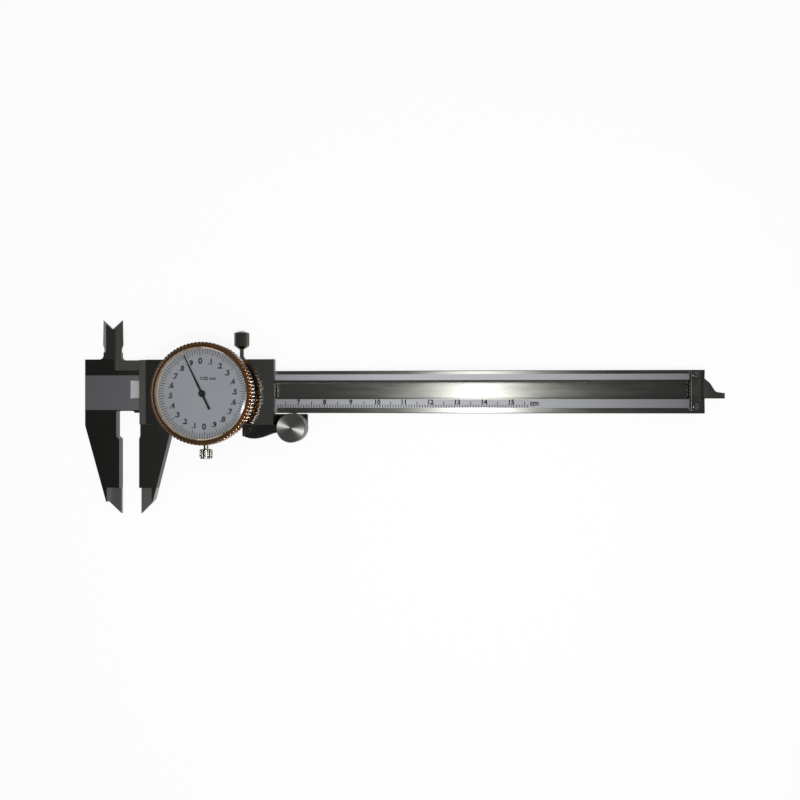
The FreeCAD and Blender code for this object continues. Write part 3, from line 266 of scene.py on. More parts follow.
# Finishes
class Finish:
    """A finish in the making: its shader, and the place on the caliper in millimetres."""

    def __init__(self, name, colour, metallic=0.0, roughness=0.5):
        self.material = bpy.data.materials.new(name)
        self.material.use_nodes = True
        self.tree = self.material.node_tree
        self.shader = self.tree.nodes["Principled BSDF"]
        self.put("Base Color", (*colour, 1.0))
        self.put("Metallic", metallic)
        self.put("Roughness", roughness)
        place = self.add("ShaderNodeTexCoord").outputs["Object"]
        self.place = self.vector("MULTIPLY", place, (1000, 1000, 1000))

    def add(self, kind, **settings):
        """A new node of a kind."""
        node = self.tree.nodes.new(kind)
        for name, value in settings.items():
            setattr(node, name, value)
        return node

    def feed(self, socket, value):
        """Links a socket to another one, or sets it to a plain value."""
        if isinstance(value, bpy.types.NodeSocket):
            self.tree.links.new(value, socket)
        else:
            socket.default_value = value

    def put(self, name, value):
        """Sets one of the shader's inputs."""
        self.feed(self.shader.inputs[name], value)

    def maths(self, operation, *values):
        """The outcome of an operation on numbers."""
        node = self.add("ShaderNodeMath", operation=operation)
        for socket, value in zip(node.inputs, values):
            self.feed(socket, value)
        return node.outputs[0]

    def vector(self, operation, *values):
        """The outcome of an operation on vectors."""
        node = self.add("ShaderNodeVectorMath", operation=operation)
        for socket, value in zip(node.inputs, values):
            self.feed(socket, value)
        return node.outputs["Value" if operation == "LENGTH" else "Vector"]

    def axes(self):
        """The place as three separate numbers."""
        node = self.add("ShaderNodeSeparateXYZ")
        self.feed(node.inputs[0], self.place)
        return node.outputs

    def ramp(self, value, low, high, start=0.0, end=1.0):
        """A value that goes from start, at low, to end, at high."""
        node = self.add("ShaderNodeMapRange")
        for socket, number in zip(node.inputs, (value, low, high, start, end)):
            self.feed(socket, number)
        return node.outputs[0]

    def step(self, value, edge, soft):
        """0 below the edge and 1 above it, or the other way round where soft is negative."""
        return self.ramp(value, edge - soft, edge + soft)

    def both(self, first, second):
        """1 where both masks are 1."""
        return self.maths("MULTIPLY", first, second)

    def between(self, value, low, high):
        """1 where the value lies between low and high, and 0 elsewhere."""
        return self.both(self.step(value, low, 0.02), self.step(value, high, -0.02))

    def blend(self, kind, share, first, second):
        """The first value where the share is 0, the second where it is 1."""
        node = self.add("ShaderNodeMix", data_type=kind)
        for name, value in (("Factor", share), ("A", first), ("B", second)):
            self.feed(next(socket for socket in node.inputs if socket.name == name and socket.enabled), value)
        return next(socket for socket in node.outputs if socket.enabled)

    def mixed(self, share, first, second):
        """A blend of two numbers."""
        return self.blend("FLOAT", share, first, second)

    def tinted(self, share, first, second):
        """A blend of two colours."""
        first, second = ((*value, 1.0) if isinstance(value, tuple) else value for value in (first, second))
        return self.blend("RGBA", share, first, second)

    def noise(self, stretch, detail=3.0):
        """Soft noise from 0 to 1. It varies stretch times in a millimetre along each axis."""
        node = self.add("ShaderNodeTexNoise")
        node.inputs["Scale"].default_value = 1.0
        node.inputs["Detail"].default_value = detail
        self.feed(node.inputs["Vector"], self.vector("MULTIPLY", self.place, stretch))
        return self.ramp(node.outputs[0], 0.3, 0.7)

    def bump(self, height, depth):
        """Raises the surface by a height from 0 to 1 times a depth in metres."""
        node = self.add("ShaderNodeBump")
        node.inputs["Strength"].default_value = 1.0
        node.inputs["Distance"].default_value = depth
        self.feed(node.inputs["Height"], height)
        self.put("Normal", node.outputs[0])

    def sideways(self):
        """1 where the surface faces sideways, and 0 where it faces up or down."""
        split = self.add("ShaderNodeSeparateXYZ")
        self.feed(split.inputs[0], self.add("ShaderNodeTexCoord").outputs["Normal"])
        return self.ramp(self.maths("ABSOLUTE", split.outputs["Z"]), 0.75, 0.95, 1.0, 0.0)

    def give(self, *names):
        """Puts the finish on solid pieces by name, and hands back its material."""
        for name in names:
            slots = nodes[name].data.materials
            slots.clear()
            slots.append(self.material)
        return self.material


def darker(colour, share):
    """A colour with a share of its brightness."""
    return tuple(part * share for part in colour)


def ground_steel(name, finish, share, roughness, along):
    """Ground steel: faint lines along the grain, a trace of handling, and rougher sides darkened with painted
    shade.
    Share is how bright it is beside the polished steel, and along is how often the grain varies in a
    millimetre on each axis."""
    colour = darker(tuple(finish.steel), share)
    steel = Finish(name, colour, 1.0, roughness)
    lines = steel.noise(along, 4.0)
    smudge = steel.noise((0.12, 0.12, 0.12), 2.0)
    shade = steel.maths("ADD", steel.maths("MULTIPLY", lines, 0.16), steel.maths("MULTIPLY", smudge, 0.10))
    side = steel.sideways()
    front = steel.tinted(shade, colour, darker(colour, 0.45))
    # Painted shade: the side faces are darkened to a share of the colour
    steel.put("Base Color", steel.tinted(side, front, darker(colour, finish.painted_side_shade)))
    rough = steel.mixed(smudge, roughness * 0.85, roughness * 1.3)
    steel.put("Roughness", steel.mixed(side, rough, 0.4))
    steel.bump(lines, 0.0012 * MM)
    return steel


def slider_steel(finish):
    """The slider's steel: polished slab and jaw, duller ledge and arm, and a satin tip."""
    slider = Finish("slider_steel", tuple(finish.steel), 1.0, 0.15)
    place = slider.axes()
    across = slider.maths("SUBTRACT", place["Y"], centre_y / MM)
    depth = slider.maths("SUBTRACT", place["Z"], beam_front / MM)
    ledge = slider.between(depth, *LEDGE_DEPTH)
    arm = slider.both(slider.step(across, ARM_EDGE, 0.1), slider.between(depth, *ARM_DEPTH))
    tip = slider.both(slider.step(across, TIP_EDGE, -0.1), slider.step(depth, TIP_DEPTH, -0.1))
    dull = slider.maths("MAXIMUM", ledge, arm)
    lines = slider.noise((0.03, 2.5, 2.5), 4.0)
    smudge = slider.noise((0.12, 0.12, 0.12), 2.0)
    side = slider.sideways()
    steel = tuple(finish.steel)
    shade = slider.maths("MULTIPLY", slider.maths("ADD", lines, smudge), 0.16)
    colour = slider.tinted(shade, steel, darker(steel, 0.45))
    # Painted shade: the side faces are darkened to a share of the steel's colour
    colour = slider.tinted(side, colour, darker(steel, finish.painted_side_shade))
    slider.put("Base Color", slider.tinted(tip, colour, TIP_STEEL))
    rough = slider.mixed(smudge, 0.13, 0.2)
    rough = slider.mixed(dull, rough, 0.5)
    rough = slider.mixed(side, rough, 0.4)
    slider.put("Roughness", slider.mixed(tip, rough, 0.6))
    slider.bump(lines, 0.0012 * MM)
    return slider


def beam_steel(finish, scale):
    """The beam's steel: brushed lands and groove, satin rails, field and tip, polished jaw, dull blade."""
    steel = darker(tuple(finish.steel), 0.88)
    beam = Finish("beam_steel", steel, 1.0, 0.3)
    place = beam.axes()
    across = beam.maths("SUBTRACT", place["Y"], centre_y / MM)
    along = beam.maths("SUBTRACT", place["X"], jaw_x / MM)
    depth = beam.maths("SUBTRACT", place["Z"], beam_front / MM)
    side = beam.sideways()
    upper_rail = beam.between(across, *UPPER_RAIL)
    lower_rail = beam.between(across, scale.rail_low / MM, scale.rail_high / MM)
    stretch = beam.both(beam.step(along, RAIL_START, 0.01), beam.step(along, RAIL_END, -0.05))
    on_rails = beam.both(beam.maths("ADD", upper_rail, lower_rail),
                         beam.both(stretch, beam.step(depth, RAIL_FLOOR, 0.01)))
    left = beam.step(along, RAIL_START, -0.01)
    front = beam.ramp(depth, -0.02, -0.01)
    field = beam.both(beam.between(across, *FIELD), beam.both(left, front))
    run_out = beam.both(beam.between(across, *GROOVE),
                        beam.both(beam.between(along, *RUN_OUT), beam.between(depth, *RUN_OUT_DEPTH)))
    jaw = beam.maths("MAXIMUM", beam.step(across, -BEAM_EDGE, -0.02), beam.step(across, BEAM_EDGE, 0.02))
    block = beam.maths("MAXIMUM", jaw, beam.step(along, 0.0, -0.1))
    tip = beam.both(beam.step(across, TIP_EDGE, -0.1), beam.step(depth, TIP_DEPTH, -0.1))
    blade = beam.ramp(across, BLOCK_TOP + 0.01, BLOCK_TOP + 0.25)
    satin = beam.maths("MAXIMUM", on_rails, beam.maths("MAXIMUM", field, run_out))
    matte = beam.maths("MAXIMUM", satin, tip)
    lines = beam.noise((0.035, 5.0, 5.0), 5.0)
    haze = beam.noise((0.05, 0.4, 0.4), 3.0)
    colour = beam.tinted(beam.maths("MULTIPLY", lines, 0.25), steel, darker(steel, 0.5))
    # Painted shade: the side faces are darkened to a share of the steel's colour
    colour = beam.tinted(side, colour, darker(steel, finish.painted_side_shade))
    colour = beam.tinted(tip, colour, TIP_STEEL)
    # Painted shade: the satin rails darken toward the end stop, and the lower rail a little more
    painted_shade_toward_stop = beam.ramp(along, 100, 215, 0.0, 0.28)
    shade = beam.maths("ADD", painted_shade_toward_stop, beam.maths("MULTIPLY", lower_rail, 0.12))
    rail = beam.tinted(shade, tuple(finish.satin), (0.0, 0.0, 0.0))
    colour = beam.tinted(satin, colour, rail)
    colour = beam.tinted(field, colour, darker(tuple(finish.satin), 0.78))
    beam.put("Base Color", beam.tinted(run_out, colour, RUN_OUT_STEEL))
    beam.put("Metallic", beam.mixed(run_out, 1.0, 0.6))
    rough = beam.mixed(haze, 0.25, 0.34)
    rough = beam.mixed(block, rough, beam.mixed(haze, 0.14, 0.2))
    rough = beam.mixed(beam.maths("MAXIMUM", side, blade), rough, 0.4)
    beam.put("Roughness", beam.mixed(matte, rough, 0.58))
    beam.put("Anisotropic", beam.mixed(matte, 0.7, 0.0))
    tangent = beam.add("ShaderNodeCombineXYZ")
    tangent.inputs["Y"].default_value = 1.0
    beam.put("Tangent", tangent.outputs[0])
    speckle = beam.noise((9.0, 9.0, 9.0), 2.0)
    beam.bump(beam.mixed(satin, lines, speckle), 0.0015 * MM)
    return beam


def satin_black(name, colour, roughness):
    """Black paint with a fine orange-peel surface."""
    paint = Finish(name, colour, 0.0, roughness)
    peel = paint.noise((1.4, 1.4, 1.4), 2.0)
    paint.put("Roughness", paint.mixed(peel, roughness * 0.8, roughness * 1.25))
    paint.put("Base Color", paint.tinted(paint.noise((0.3, 0.3, 0.3)), colour, darker(colour, 1.8)))
    paint.bump(peel, 0.004 * MM)
    return paint


def anodised(name, colour):
    """Coloured aluminium under a clear coat, with darker streaks round its axis and sides darkened to deep
    brown as painted shade.
    """
    metal = Finish(name, colour, 1.0, 0.24)
    rings = metal.noise((0.02, 0.02, 5.0), 3.0)
    cloud = metal.noise((0.16, 0.16, 0.16), 2.0)
    front = metal.tinted(metal.maths("MULTIPLY", rings, 0.35), colour, darker(colour, 0.55))
    # Painted shade: the sides are darkened to a deep brown
    metal.put("Base Color", metal.tinted(metal.sideways(), front, darker(colour, 0.12)))
    metal.put("Roughness", metal.mixed(cloud, 0.2, 0.3))
    metal.put("Coat Weight", 1.0)
    metal.put("Coat Roughness", 0.2)
    metal.put("Coat IOR", 1.6)
    metal.bump(rings, 0.003 * MM)
    return metal


def spun_steel(name, colour, centre):
    """Turned steel: fine rings round an upright axis draw the light out into a streak."""
    steel = Finish(name, colour, 1.0, 0.33)
    flat = steel.vector("MULTIPLY", steel.vector("SUBTRACT", steel.place, tuple(centre / MM)), (1, 1, 0))
    radius = steel.vector("LENGTH", flat)
    rings = steel.add("ShaderNodeTexNoise", noise_dimensions="1D")
    steel.feed(rings.inputs["W"], steel.maths("MULTIPLY", radius, 9.0))
    rings.inputs["Detail"].default_value = 3.0
    front = steel.tinted(rings.outputs[0], colour, darker(colour, 0.72))
    # Painted shade: the sides are darkened
    steel.put("Base Color", steel.tinted(steel.sideways(), front, darker(colour, 0.35)))
    steel.put("Anisotropic", 0.85)
    steel.put("Anisotropic Rotation", 0.25)
    tangent = steel.add("ShaderNodeTangent", direction_type="RADIAL", axis="Z")
    steel.put("Tangent", tangent.outputs[0])
    steel.bump(rings.outputs[0], 0.004 * MM)
    return steel


def turned_metal(name, colour, roughness, painted_side_shade=1.0):
    """Metal with a lathe's fine marks all over, for screws, arbors and bushes. Its sides may be darkened as
    painted shade.
    """
    metal = Finish(name, colour, 1.0, roughness)
    marks = metal.noise((2.5, 2.5, 2.5), 3.0)
    front = metal.tinted(metal.maths("MULTIPLY", marks, 0.4), colour, darker(colour, 0.6))
    # Painted shade: the sides are darkened by the given share
    metal.put("Base Color", metal.tinted(metal.sideways(), front, darker(colour, painted_side_shade)))
    metal.put("Roughness", metal.mixed(marks, roughness * 0.8, roughness * 1.3))
    metal.bump(marks, 0.002 * MM)
    return metal


def dial_paint(colour):
    """The dial's pale satin lacquer."""
    paint = Finish("dial_paint", colour, 0.0, 0.45)
    cloud = paint.noise((0.09, 0.09, 0.09), 2.0)
    grain = paint.noise((6.0, 6.0, 6.0), 2.0)
    shade = paint.maths("ADD", paint.maths("MULTIPLY", cloud, 0.5), paint.maths("MULTIPLY", grain, 0.5))
    paint.put("Base Color", paint.tinted(shade, colour, darker(colour, 0.93)))
    paint.bump(grain, 0.003 * MM)
    return paint


def ink(name, colour):
    """Dull ink or paint, a little uneven."""
    filling = Finish(name, colour, 0.0, 0.6)
    patches = filling.noise((1.2, 1.2, 1.2), 2.0)
    filling.put("Base Color", filling.tinted(patches, colour, darker(colour, 1.7)))
    return filling.material


def clear_crystal():
    """Clear moulded plastic: it mirrors by angle on its outer side, and lets the rest through."""
    crystal = Finish("crystal_clear", (1.0, 1.0, 1.0))
    tree = crystal.tree
    tree.nodes.remove(crystal.shader)
    clear = crystal.add("ShaderNodeBsdfTransparent")
    clear.inputs["Color"].default_value = (0.975, 0.98, 0.985, 1.0)
    gloss = crystal.add("ShaderNodeBsdfGlossy")
    gloss.inputs["Roughness"].default_value = 0.17
    bend = crystal.add("ShaderNodeFresnel")
    bend.inputs["IOR"].default_value = 1.6
    outer_side = crystal.maths("SUBTRACT", 1.0, crystal.add("ShaderNodeNewGeometry").outputs["Backfacing"])
    mix = crystal.add("ShaderNodeMixShader")
    crystal.feed(mix.inputs[0], crystal.maths("MULTIPLY", bend.outputs[0], outer_side))
    crystal.feed(mix.inputs[1], clear.outputs[0])
    crystal.feed(mix.inputs[2], gloss.outputs[0])
    tree.links.new(mix.outputs[0], tree.nodes["Material Output"].inputs["Surface"])
    return crystal.material


# Shapes
def add_line(shape, start, end, width, low, high):
    """A thin bar along a line from start to end, as (x, y) places in metres, between two heights."""
    run = Vector(end) - Vector(start)
    side = Vector((-run.y, run.x)).normalized() * width / 2
    corners = [Vector(start) + side, Vector(start) - side, Vector(end) - side, Vector(end) + side]
    lower = [shape.verts.new((*corner, low)) for corner in corners]
    upper = [shape.verts.new((*corner, high)) for corner in corners]
    shape.faces.new(upper)
    shape.faces.new(lower[::-1])
    for i in range(4):
        j = (i + 1) % 4
        shape.faces.new((lower[i], lower[j], upper[j], upper[i]))


def letters(words, height, thickness, stroke):
    """A flat mesh of upright words of a height in metres, centred on the origin and standing on z = 0."""
    curve = bpy.data.curves.new("words", "FONT")
    curve.offset = stroke
    curve.body = words
    curve.align_x = "CENTER"
    curve.resolution_u = 3
    carrier = bpy.data.objects.new("words", curve)
    mesh = bpy.data.meshes.new_from_object(carrier)
    bpy.data.objects.remove(carrier)
    bpy.data.curves.remove(curve)
    digit = 0.69  # how high a digit stands in text of size 1
    mesh.transform(Matrix.Translation((0, -digit / 2, 0)))
    mesh.transform(Matrix.Diagonal((height / digit, height / digit, 1, 1)))
    shape = bmesh.new()
    shape.from_mesh(mesh)
    bpy.data.meshes.remove(mesh)
    top = bmesh.ops.extrude_face_region(shape, geom=shape.faces[:])["geom"]
    raised = [part for part in top if isinstance(part, bmesh.types.BMVert)]
    bmesh.ops.translate(shape, vec=(0, 0, thickness), verts=raised)
    bmesh.ops.recalc_face_normals(shape, faces=shape.faces)
    return shape


def add_words(shape, words, place, height, low, high, stroke):
    """Adds words to a shape, with their middle at an (x, y) place and between two heights."""
    part = letters(words, height, high - low, stroke)
    bmesh.ops.translate(part, vec=(*place, low), verts=part.verts)
    carrier = bpy.data.meshes.new("words")
    part.to_mesh(carrier)
    part.free()
    shape.from_mesh(carrier)
    bpy.data.meshes.remove(carrier)


def lathe(profile, centre, steps):
    """A closed shape turned round an upright axis from (radius, height) corners in metres."""
    shape = bmesh.new()
    rings = []
    for radius, height in profile:
        if radius == 0:
            rings.append([shape.verts.new((centre.x, centre.y, height))])
            continue
        angles = [2 * math.pi * step / steps for step in range(steps)]
        rings.append([shape.verts.new((centre.x + radius * math.cos(angle),
                                       centre.y + radius * math.sin(angle), height)) for angle in angles])
    for ring, following in zip(rings, rings[1:]):
        for i in range(steps):
            j = (i + 1) % steps
            corners = [ring[i % len(ring)], ring[j % len(ring)], following[j % len(following)],
                       following[i % len(following)]]
            shape.faces.new(list(dict.fromkeys(corners)))
    bmesh.ops.recalc_face_normals(shape, faces=shape.faces)
    return shape


def knurled_ring(profile, centre, ridges, steps):
    """A closed ring with rounded ridges, each steps faces wide. A corner of its profile is
    (radius, height, ridge depth, lean), where a lean of 0 faces outward and a quarter turn faces up."""
    shape = bmesh.new()
    rings = []
    for radius, height, depth, lean in profile:
        ring = []
        for step in range(ridges * steps):
            angle = 2 * math.pi * step / (ridges * steps)
            dip = depth * (2 * (step % steps) / steps - 1) ** 2
            reach = radius - dip * math.cos(lean)
            ring.append(shape.verts.new((centre.x + reach * math.cos(angle),
                                         centre.y + reach * math.sin(angle), height - dip * math.sin(lean))))
        rings.append(ring)
    for ring, following in zip(rings, rings[1:] + rings[:1]):
        for i in range(ridges * steps):
            j = (i + 1) % (ridges * steps)
            shape.faces.new((ring[i], ring[j], following[j], following[i]))
    bmesh.ops.recalc_face_normals(shape, faces=shape.faces)
    return shape


def knurl_profile():
    """The corners of a ring that carries the solid bezel's ridges on up to its brow."""
    low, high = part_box("bezel")
    outer = (high.x - low.x) / 2 - HAIR
    wall_low = high.z - KNURL_DROP
    wall_high = high.z - BROW_DROP
    corners = [(outer - KNURL_INNER, wall_low, 0, 0), (outer, wall_low, RIDGE_HEIGHT, 0)]
    for turn in range(0, 91, 15):
        lean = math.radians(turn)
        radius = outer - BROW_ROUND * (1 - math.cos(lean))
        corners.append((radius, wall_high + BROW_ROUND * math.sin(lean), RIDGE_HEIGHT, lean))
    corners.append((outer - SLOPE_START, wall_high + BROW_ROUND, 0, 0))
    corners.append((outer - SLOPE_END, high.z - HAIR, 0, 0))
    corners.append((outer - SLOPE_END, wall_low, 0, 0))
    return corners


def lens_profile():
    """The crystal's corners: its flat back, the flange, the round edge and the crown."""
    low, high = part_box("crystal")
    flange = high.x - dial_centre.x
    rim = flange - CRYSTAL_RIM
    seat = low.z + CRYSTAL_FLANGE
    corners = [(0, low.z), (flange, low.z), (flange, seat), (rim, seat)]
    for step in range(1, CRYSTAL_STEPS + 1):
        lean = CRYSTAL_LEAN * (1 - step / CRYSTAL_STEPS)
        radius = rim - CRYSTAL_ROUND * (math.sin(CRYSTAL_LEAN) - math.sin(lean))
        corners.append((radius, seat + CRYSTAL_ROUND * (math.cos(lean) - math.cos(CRYSTAL_LEAN))))
    crown_radius, crown_foot = corners[-1]
    for share in (0.8, 0.6, 0.4, 0.2, 0):
        corners.append((crown_radius * share, crown_foot + (high.z - crown_foot) * (1 - share ** 2)))
    return corners


def make_piece(name, shape, material, body, smooth_angle=None):
    """Turns a shape into a piece that rides on a body."""
    mesh = bpy.data.meshes.new(name)
    shape.to_mesh(mesh)
    shape.free()
    mesh.materials.append(material)
    if smooth_angle is not None:
        mesh.shade_smooth()
        mesh.set_sharp_from_angle(angle=smooth_angle)
    piece = bpy.data.objects.new(name, mesh)
    bpy.context.scene.collection.objects.link(piece)
    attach(piece, body)
    return piece


class PieceOperator:
    """What the operators share: each can be undone."""
    bl_options = {"REGISTER", "UNDO"}


class CALIPER_OT_finish_beam(PieceOperator, bpy.types.Operator):
    """Give the beam its brushed lands, satin rails and polished jaws"""
    bl_idname = "caliper.finish_beam"
    bl_label = "Finish the Beam"

    def execute(self, context):
        finish = context.scene.caliper_finish
        beam_steel(finish, context.scene.caliper_scale).give("main_beam")
        # The rack is nearly black: partly grease, partly painted shade of the deep groove it lies in
        turned_metal("rack_steel", (0.09, 0.09, 0.09), 0.5).give("rack")
        ground_steel("stop_steel", finish, 0.8, 0.25, (3.0, 0.05, 3.0)).give("end_stop")
        turned_metal("stop_screw_steel", (0.4, 0.4, 0.4), 0.3).give("end_stop_screws")
        return {"FINISHED"}


class CALIPER_OT_engrave_scale(PieceOperator, bpy.types.Operator):
    """Put the millimetre lines and the centimetre numbers on the lower rail"""
    bl_idname = "caliper.engrave_scale"
    bl_label = "Engrave the Scale"

    def execute(self, context):
        scale = context.scene.caliper_scale
        low = beam_front - scale.rail_depth - SCALE_SINK
        high = beam_front + HAIR
        foot = centre_y + scale.rail_low + SCALE_GAP
        lines = bmesh.new()
        numbers = bmesh.new()
        for millimetre in range(scale.first_line, scale.last_line + 1):
            x = jaw_x + millimetre * MM
            half_centimetre = millimetre % 10 == 5
            length = scale.long_line if half_centimetre else scale.short_line
            add_line(lines, (x, foot), (x, foot + length), scale.line_width, low, high)
            if millimetre % 10 == 0:
                place = (x, foot + scale.short_line + SCALE_GAP + scale.number_height / 2)
                number = str(millimetre // 10)
                add_words(numbers, number, place, scale.number_height, low, high, SCALE_STROKE)
        place = (jaw_x + scale.last_line * MM + UNIT_GAP,
                 centre_y + (scale.rail_low + scale.rail_high) / 2 + UNIT_RAISE)
        unit_height = scale.unit_height * DIGIT_TO_SMALL_LETTER
        add_words(numbers, "cm", place, unit_height, low, high, UNIT_STROKE)
        filling = ink("scale_filling", tuple(scale.colour))
        make_piece("scale_lines", lines, filling, "beam")
        make_piece("scale_numbers", numbers, filling, "beam")
        return {"FINISHED"}


class CALIPER_OT_finish_slider(PieceOperator, bpy.types.Operator):
    """Polish the slider and finish its cover, gib, depth rod and screws"""
    bl_idname = "caliper.finish_slider"
    bl_label = "Finish the Slider"

    def execute(self, context):
        finish = context.scene.caliper_finish
        slider_steel(finish).give("slider_frame")
        ground_steel("cover_steel", finish, 0.9, 0.32, (0.05, 4.0, 4.0)).give("back_cover")
        ground_steel("rod_steel", finish, 0.75, 0.3, (0.03, 5.0, 5.0)).give("depth_rod")
        turned_metal("gib_bronze", (0.60, 0.44, 0.22), 0.35).give("gib")
        screws = ("back_cover_screws", "gib_screws", "depth_rod_screws", "case_screws", "movement_screws",
                  "bracket_screws")
        turned_metal("screw_steel", (0.55, 0.55, 0.54), 0.28).give(*screws)
        return {"FINISHED"}


class CALIPER_OT_print_dial(PieceOperator, bpy.types.Operator):
    """Paint the dial's face and print its graduations and numbers"""
    bl_idname = "caliper.print_dial"
    bl_label = "Print the Dial"

    def execute(self, context):
        dial = context.scene.caliper_dial
        dial_paint(tuple(dial.face_colour)).give("dial_face")
        low = dial_front - HAIR
        high = dial_front + PRINT_HEIGHT
        lines = bmesh.new()
        numbers = bmesh.new()
        for division in range(dial.divisions):
            angle = math.pi / 2 + dial.zero_turn - 2 * math.pi * division / dial.divisions
            out = Vector((math.cos(angle), math.sin(angle)))
            length = dial.long_line if division % 5 == 0 else dial.short_line
            outer = dial_centre.xy + out * dial.line_outer
            inner = dial_centre.xy + out * (dial.line_outer - length)
            add_line(lines, inner, outer, dial.line_width, low, high)
            if division % 5 == 0:
                tenths = division // 5 % 10
                words = f".{tenths}" if tenths else "0"
                height = dial.number_height if tenths else dial.zero_height
                place = dial_centre.xy + out * dial.number_radius
                add_words(numbers, words, place, height, low, high, dial.stroke)
        printing = ink("dial_ink", tuple(dial.print_colour))
        make_piece("dial_lines", lines, printing, "dial")
        make_piece("dial_numbers", numbers, printing, "dial")
        value = bmesh.new()
        add_words(value, "0.02 mm", dial_centre.xy + VALUE_PLACE, VALUE_HEIGHT, low, high, VALUE_STROKE)
        faint = ink("dial_faint_ink", tuple(part * VALUE_PALER for part in dial.print_colour))
        make_piece("dial_value", value, faint, "dial")
        satin_black("pointer_paint", tuple(context.scene.caliper_finish.black), 0.5).give("pointer")
        return {"FINISHED"}


class CALIPER_OT_finish_bezel(PieceOperator, bpy.types.Operator):
    """Finish the bezel, its pale ring and the clear crystal"""
    bl_idname = "caliper.finish_bezel"
    bl_label = "Finish the Bezel"

    def execute(self, context):
        finish = context.scene.caliper_finish
        copper = anodised("bezel_copper", tuple(finish.copper)).give("bezel")
        knurl = knurled_ring(knurl_profile(), dial_centre, RIDGES, FACES_PER_RIDGE)
        make_piece("bezel_knurl", knurl, copper, "dial", math.radians(50))
        ring = Finish("ring_plastic", (0.85, 0.72, 0.56), 0.0, 0.4)
        ring.bump(ring.noise((3.0, 3.0, 3.0)), 0.004 * MM)
        ring.give("crystal_ring")
        satin_black("case_black", tuple(finish.black), 0.4).give("dial_case")
        lens = make_piece("crystal_lens", lathe(lens_profile(), dial_centre, CRYSTAL_SIDES),
                          clear_crystal(), "dial", math.radians(30))
        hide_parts("crystal")
        return {"FINISHED"}


class CALIPER_OT_finish_movement(PieceOperator, bpy.types.Operator):
    """Finish the rack's pinion, the wheels and what carries them"""
    bl_idname = "caliper.finish_movement"
    bl_label = "Finish the Movement"

    def execute(self, context):
        brass = tuple(context.scene.caliper_finish.brass)
        polished = turned_metal("brass", brass, 0.26)
        polished.give("main_wheel", "takeup_wheel", "movement_plate", "pivot_bushes")
        turned_metal("arbor_steel", (0.5, 0.5, 0.5), 0.2).give("pinion_arbor", "centre_pinion", "roller_axle")
        turned_metal("spring_steel", (0.36, 0.38, 0.44), 0.3).give("bezel_spring", "takeup_spring")
        return {"FINISHED"}


class CALIPER_OT_finish_thumb_pieces(PieceOperator, bpy.types.Operator):
    """Finish the two thumb screws, the roller and its black bracket"""
    bl_idname = "caliper.finish_thumb_pieces"
    bl_label = "Finish the Thumb Pieces"

    def execute(self, context):
        finish = context.scene.caliper_finish
        turned_metal("screw_nickel", tuple(finish.nickel), 0.16, 0.45).give("bezel_clamp_screw")
        turned_metal("lock_nickel", darker(tuple(finish.nickel), 0.85), 0.16, 0.35).give("lock_screw")
        spun_steel("roller_steel", (0.68, 0.68, 0.65), roller_centre).give("thumb_roller")
        satin_black("bracket_black", tuple(finish.black), 0.3).give("roller_bracket")
        return {"FINISHED"}


# Stage
def white_floor():
    """A floor that the camera sees as white. It takes shadows, and in mirrors it fades with distance."""
    paint = Finish("floor_white", (0.12, 0.12, 0.12), 0.0, 0.9)
    paint.put("Specular IOR Level", 0.0)
    rays = paint.add("ShaderNodeLightPath").outputs
    near = paint.ramp(paint.vector("LENGTH", paint.place), *FLOOR_FADE, 1.0, FLOOR_FAR_SHARE)
    mirrored = paint.maths("MAXIMUM", rays["Is Glossy Ray"], rays["Is Transmission Ray"])
    seen = paint.maths("MAXIMUM", rays["Is Camera Ray"], paint.maths("MULTIPLY", mirrored, near))
    paint.put("Emission Color", (1.0, 1.0, 1.0, 1.0))
    paint.put("Emission Strength", paint.maths("MULTIPLY", seen, FLOOR_WHITE))
    return paint.material


def add_ramp(tree, value, low, high, start, end):
    """A value that goes smoothly from start, at low, to end, at high."""
    node = tree.nodes.new("ShaderNodeMapRange")
    node.interpolation_type = "SMOOTHSTEP"
    for name, setting in (("Value", value), ("From Min", low), ("From Max", high), ("To Min", start),
                          ("To Max", end)):
        if isinstance(setting, bpy.types.NodeSocket):
            tree.links.new(setting, node.inputs[name])
        else:
            node.inputs[name].default_value = setting
    return node.outputs[0]


def light_room(world, stage):
    """A dim room that is darker overhead, where the camera stands, and darker on the left."""
    world.use_nodes = True
    tree = world.node_tree
    split = tree.nodes.new("ShaderNodeSeparateXYZ")
    tree.links.new(tree.nodes.new("ShaderNodeTexCoord").outputs["Generated"], split.inputs[0])
    across = split.outputs["X"]
    walls = add_ramp(tree, across, *WALL_SPAN, stage.wall_left, stage.wall_right)
    right_half = add_ramp(tree, across, *CEILING_RIGHT_SPAN, stage.ceiling_middle, stage.ceiling_right)
    ceiling = add_ramp(tree, across, *CEILING_LEFT_SPAN, stage.ceiling_left, right_half)
    strength = add_ramp(tree, split.outputs["Z"], CEILING_STARTS, CEILING_FULL, walls, ceiling)
    background = tree.nodes["Background"]
    background.inputs["Color"].default_value = (1.0, 1.0, 1.0, 1.0)
    tree.links.new(strength, background.inputs["Strength"])


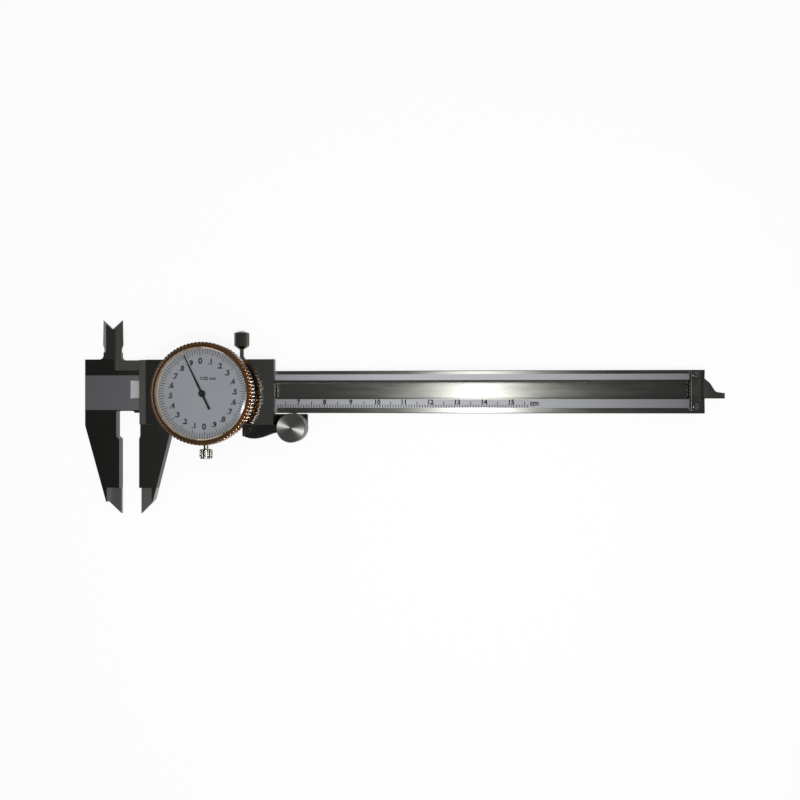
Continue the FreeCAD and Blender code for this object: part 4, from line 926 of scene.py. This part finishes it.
class CALIPER_OT_set_stage(PieceOperator, bpy.types.Operator):
    """Lay the floor, light the room and stand the camera above the caliper"""
    bl_idname = "caliper.set_stage"
    bl_label = "Set the Stage"

    def execute(self, context):
        scene = context.scene
        stage = scene.caliper_stage
        shape = bmesh.new()
        bmesh.ops.create_grid(shape, x_segments=1, y_segments=1, size=FLOOR_SIZE)
        mesh = bpy.data.meshes.new("floor")
        shape.to_mesh(mesh)
        shape.free()
        mesh.materials.append(white_floor())
        floor = bpy.data.objects.new("floor", mesh)
        floor.location.z = cad_box[0].z - 2 * HAIR
        scene.collection.objects.link(floor)

        aim = Vector((jaw_x + stage.aim_x, centre_y + stage.aim_y, beam_front))
        lamp = bpy.data.lights.new("lamp", "AREA")
        lamp.shape = "DISK"
        lamp.size = stage.lamp_size
        lamp.energy = stage.lamp_power
        lamp_object = bpy.data.objects.new("lamp", lamp)
        lamp_object.location = aim + Vector((stage.lamp_x, stage.lamp_y, stage.lamp_height))
        lamp_object.rotation_euler = (aim - lamp_object.location).to_track_quat("-Z", "Y").to_euler()
        scene.collection.objects.link(lamp_object)

        fill = bpy.data.lights.new("fill", "SUN")
        fill.energy = stage.fill_strength
        fill.angle = FILL_ANGLE
        fill_object = bpy.data.objects.new("fill", fill)
        fill_object.location = aim + Vector((0, 0, 0.5))
        fill_object.visible_glossy = False
        scene.collection.objects.link(fill_object)

        if scene.world is None:
            scene.world = bpy.data.worlds.new("room")
        light_room(scene.world, stage)

        camera = bpy.data.cameras.new("camera")
        camera.sensor_width = 36.0
        camera.lens = stage.focal
        camera.clip_start = 0.01
        camera.clip_end = 20.0
        camera_object = bpy.data.objects.new("camera", camera)
        back = Vector((math.sin(stage.lean), 0, math.cos(stage.lean)))
        camera_object.location = aim + back * stage.distance
        camera_object.rotation_euler = (0, stage.lean, 0)
        scene.collection.objects.link(camera_object)
        scene.camera = camera_object
        scene.view_settings.view_transform = "Standard"
        return {"FINISHED"}


class CALIPER_PT_tools(bpy.types.Panel):
    """The caliper's steps and settings in the 3D view's sidebar"""
    bl_label = "Dial Caliper"
    bl_idname = "CALIPER_PT_tools"
    bl_space_type = "VIEW_3D"
    bl_region_type = "UI"
    bl_category = "Caliper"

    def draw(self, context):
        layout = self.layout
        for operator in operators:
            layout.operator(operator.bl_idname)
        for label, name in (("Scale", "caliper_scale"), ("Dial", "caliper_dial"),
                            ("Finish", "caliper_finish"), ("Stage", "caliper_stage")):
            box = layout.box()
            box.label(text=label)
            settings = getattr(context.scene, name)
            for key in settings.bl_rna.properties.keys():
                if key not in ("rna_type", "name"):
                    box.prop(settings, key)


settings_groups = {
    "caliper_scale": CaliperScale,
    "caliper_dial": CaliperDial,
    "caliper_finish": CaliperFinish,
    "caliper_stage": CaliperStage,
}
operators = (
    CALIPER_OT_finish_beam,
    CALIPER_OT_engrave_scale,
    CALIPER_OT_finish_slider,
    CALIPER_OT_print_dial,
    CALIPER_OT_finish_bezel,
    CALIPER_OT_finish_movement,
    CALIPER_OT_finish_thumb_pieces,
    CALIPER_OT_set_stage,
)


def register():
    """Add the settings, the operators and the panel"""
    for name, group in settings_groups.items():
        bpy.utils.register_class(group)
        setattr(bpy.types.Scene, name, PointerProperty(type=group))
    for operator in operators:
        bpy.utils.register_class(operator)
    bpy.utils.register_class(CALIPER_PT_tools)


def unregister():
    """Take away what register added"""
    bpy.utils.unregister_class(CALIPER_PT_tools)
    for operator in reversed(operators):
        bpy.utils.unregister_class(operator)
    for name, group in settings_groups.items():
        delattr(bpy.types.Scene, name)
        bpy.utils.unregister_class(group)


def main():
    """Build the caliper and its stage"""
    register()
    bpy.ops.caliper.finish_beam()
    bpy.ops.caliper.engrave_scale()
    bpy.ops.caliper.finish_slider()
    bpy.ops.caliper.print_dial()
    bpy.ops.caliper.finish_bezel()
    bpy.ops.caliper.finish_movement()
    bpy.ops.caliper.finish_thumb_pieces()
    bpy.ops.caliper.set_stage()


if __name__ == "__main__":
    main()
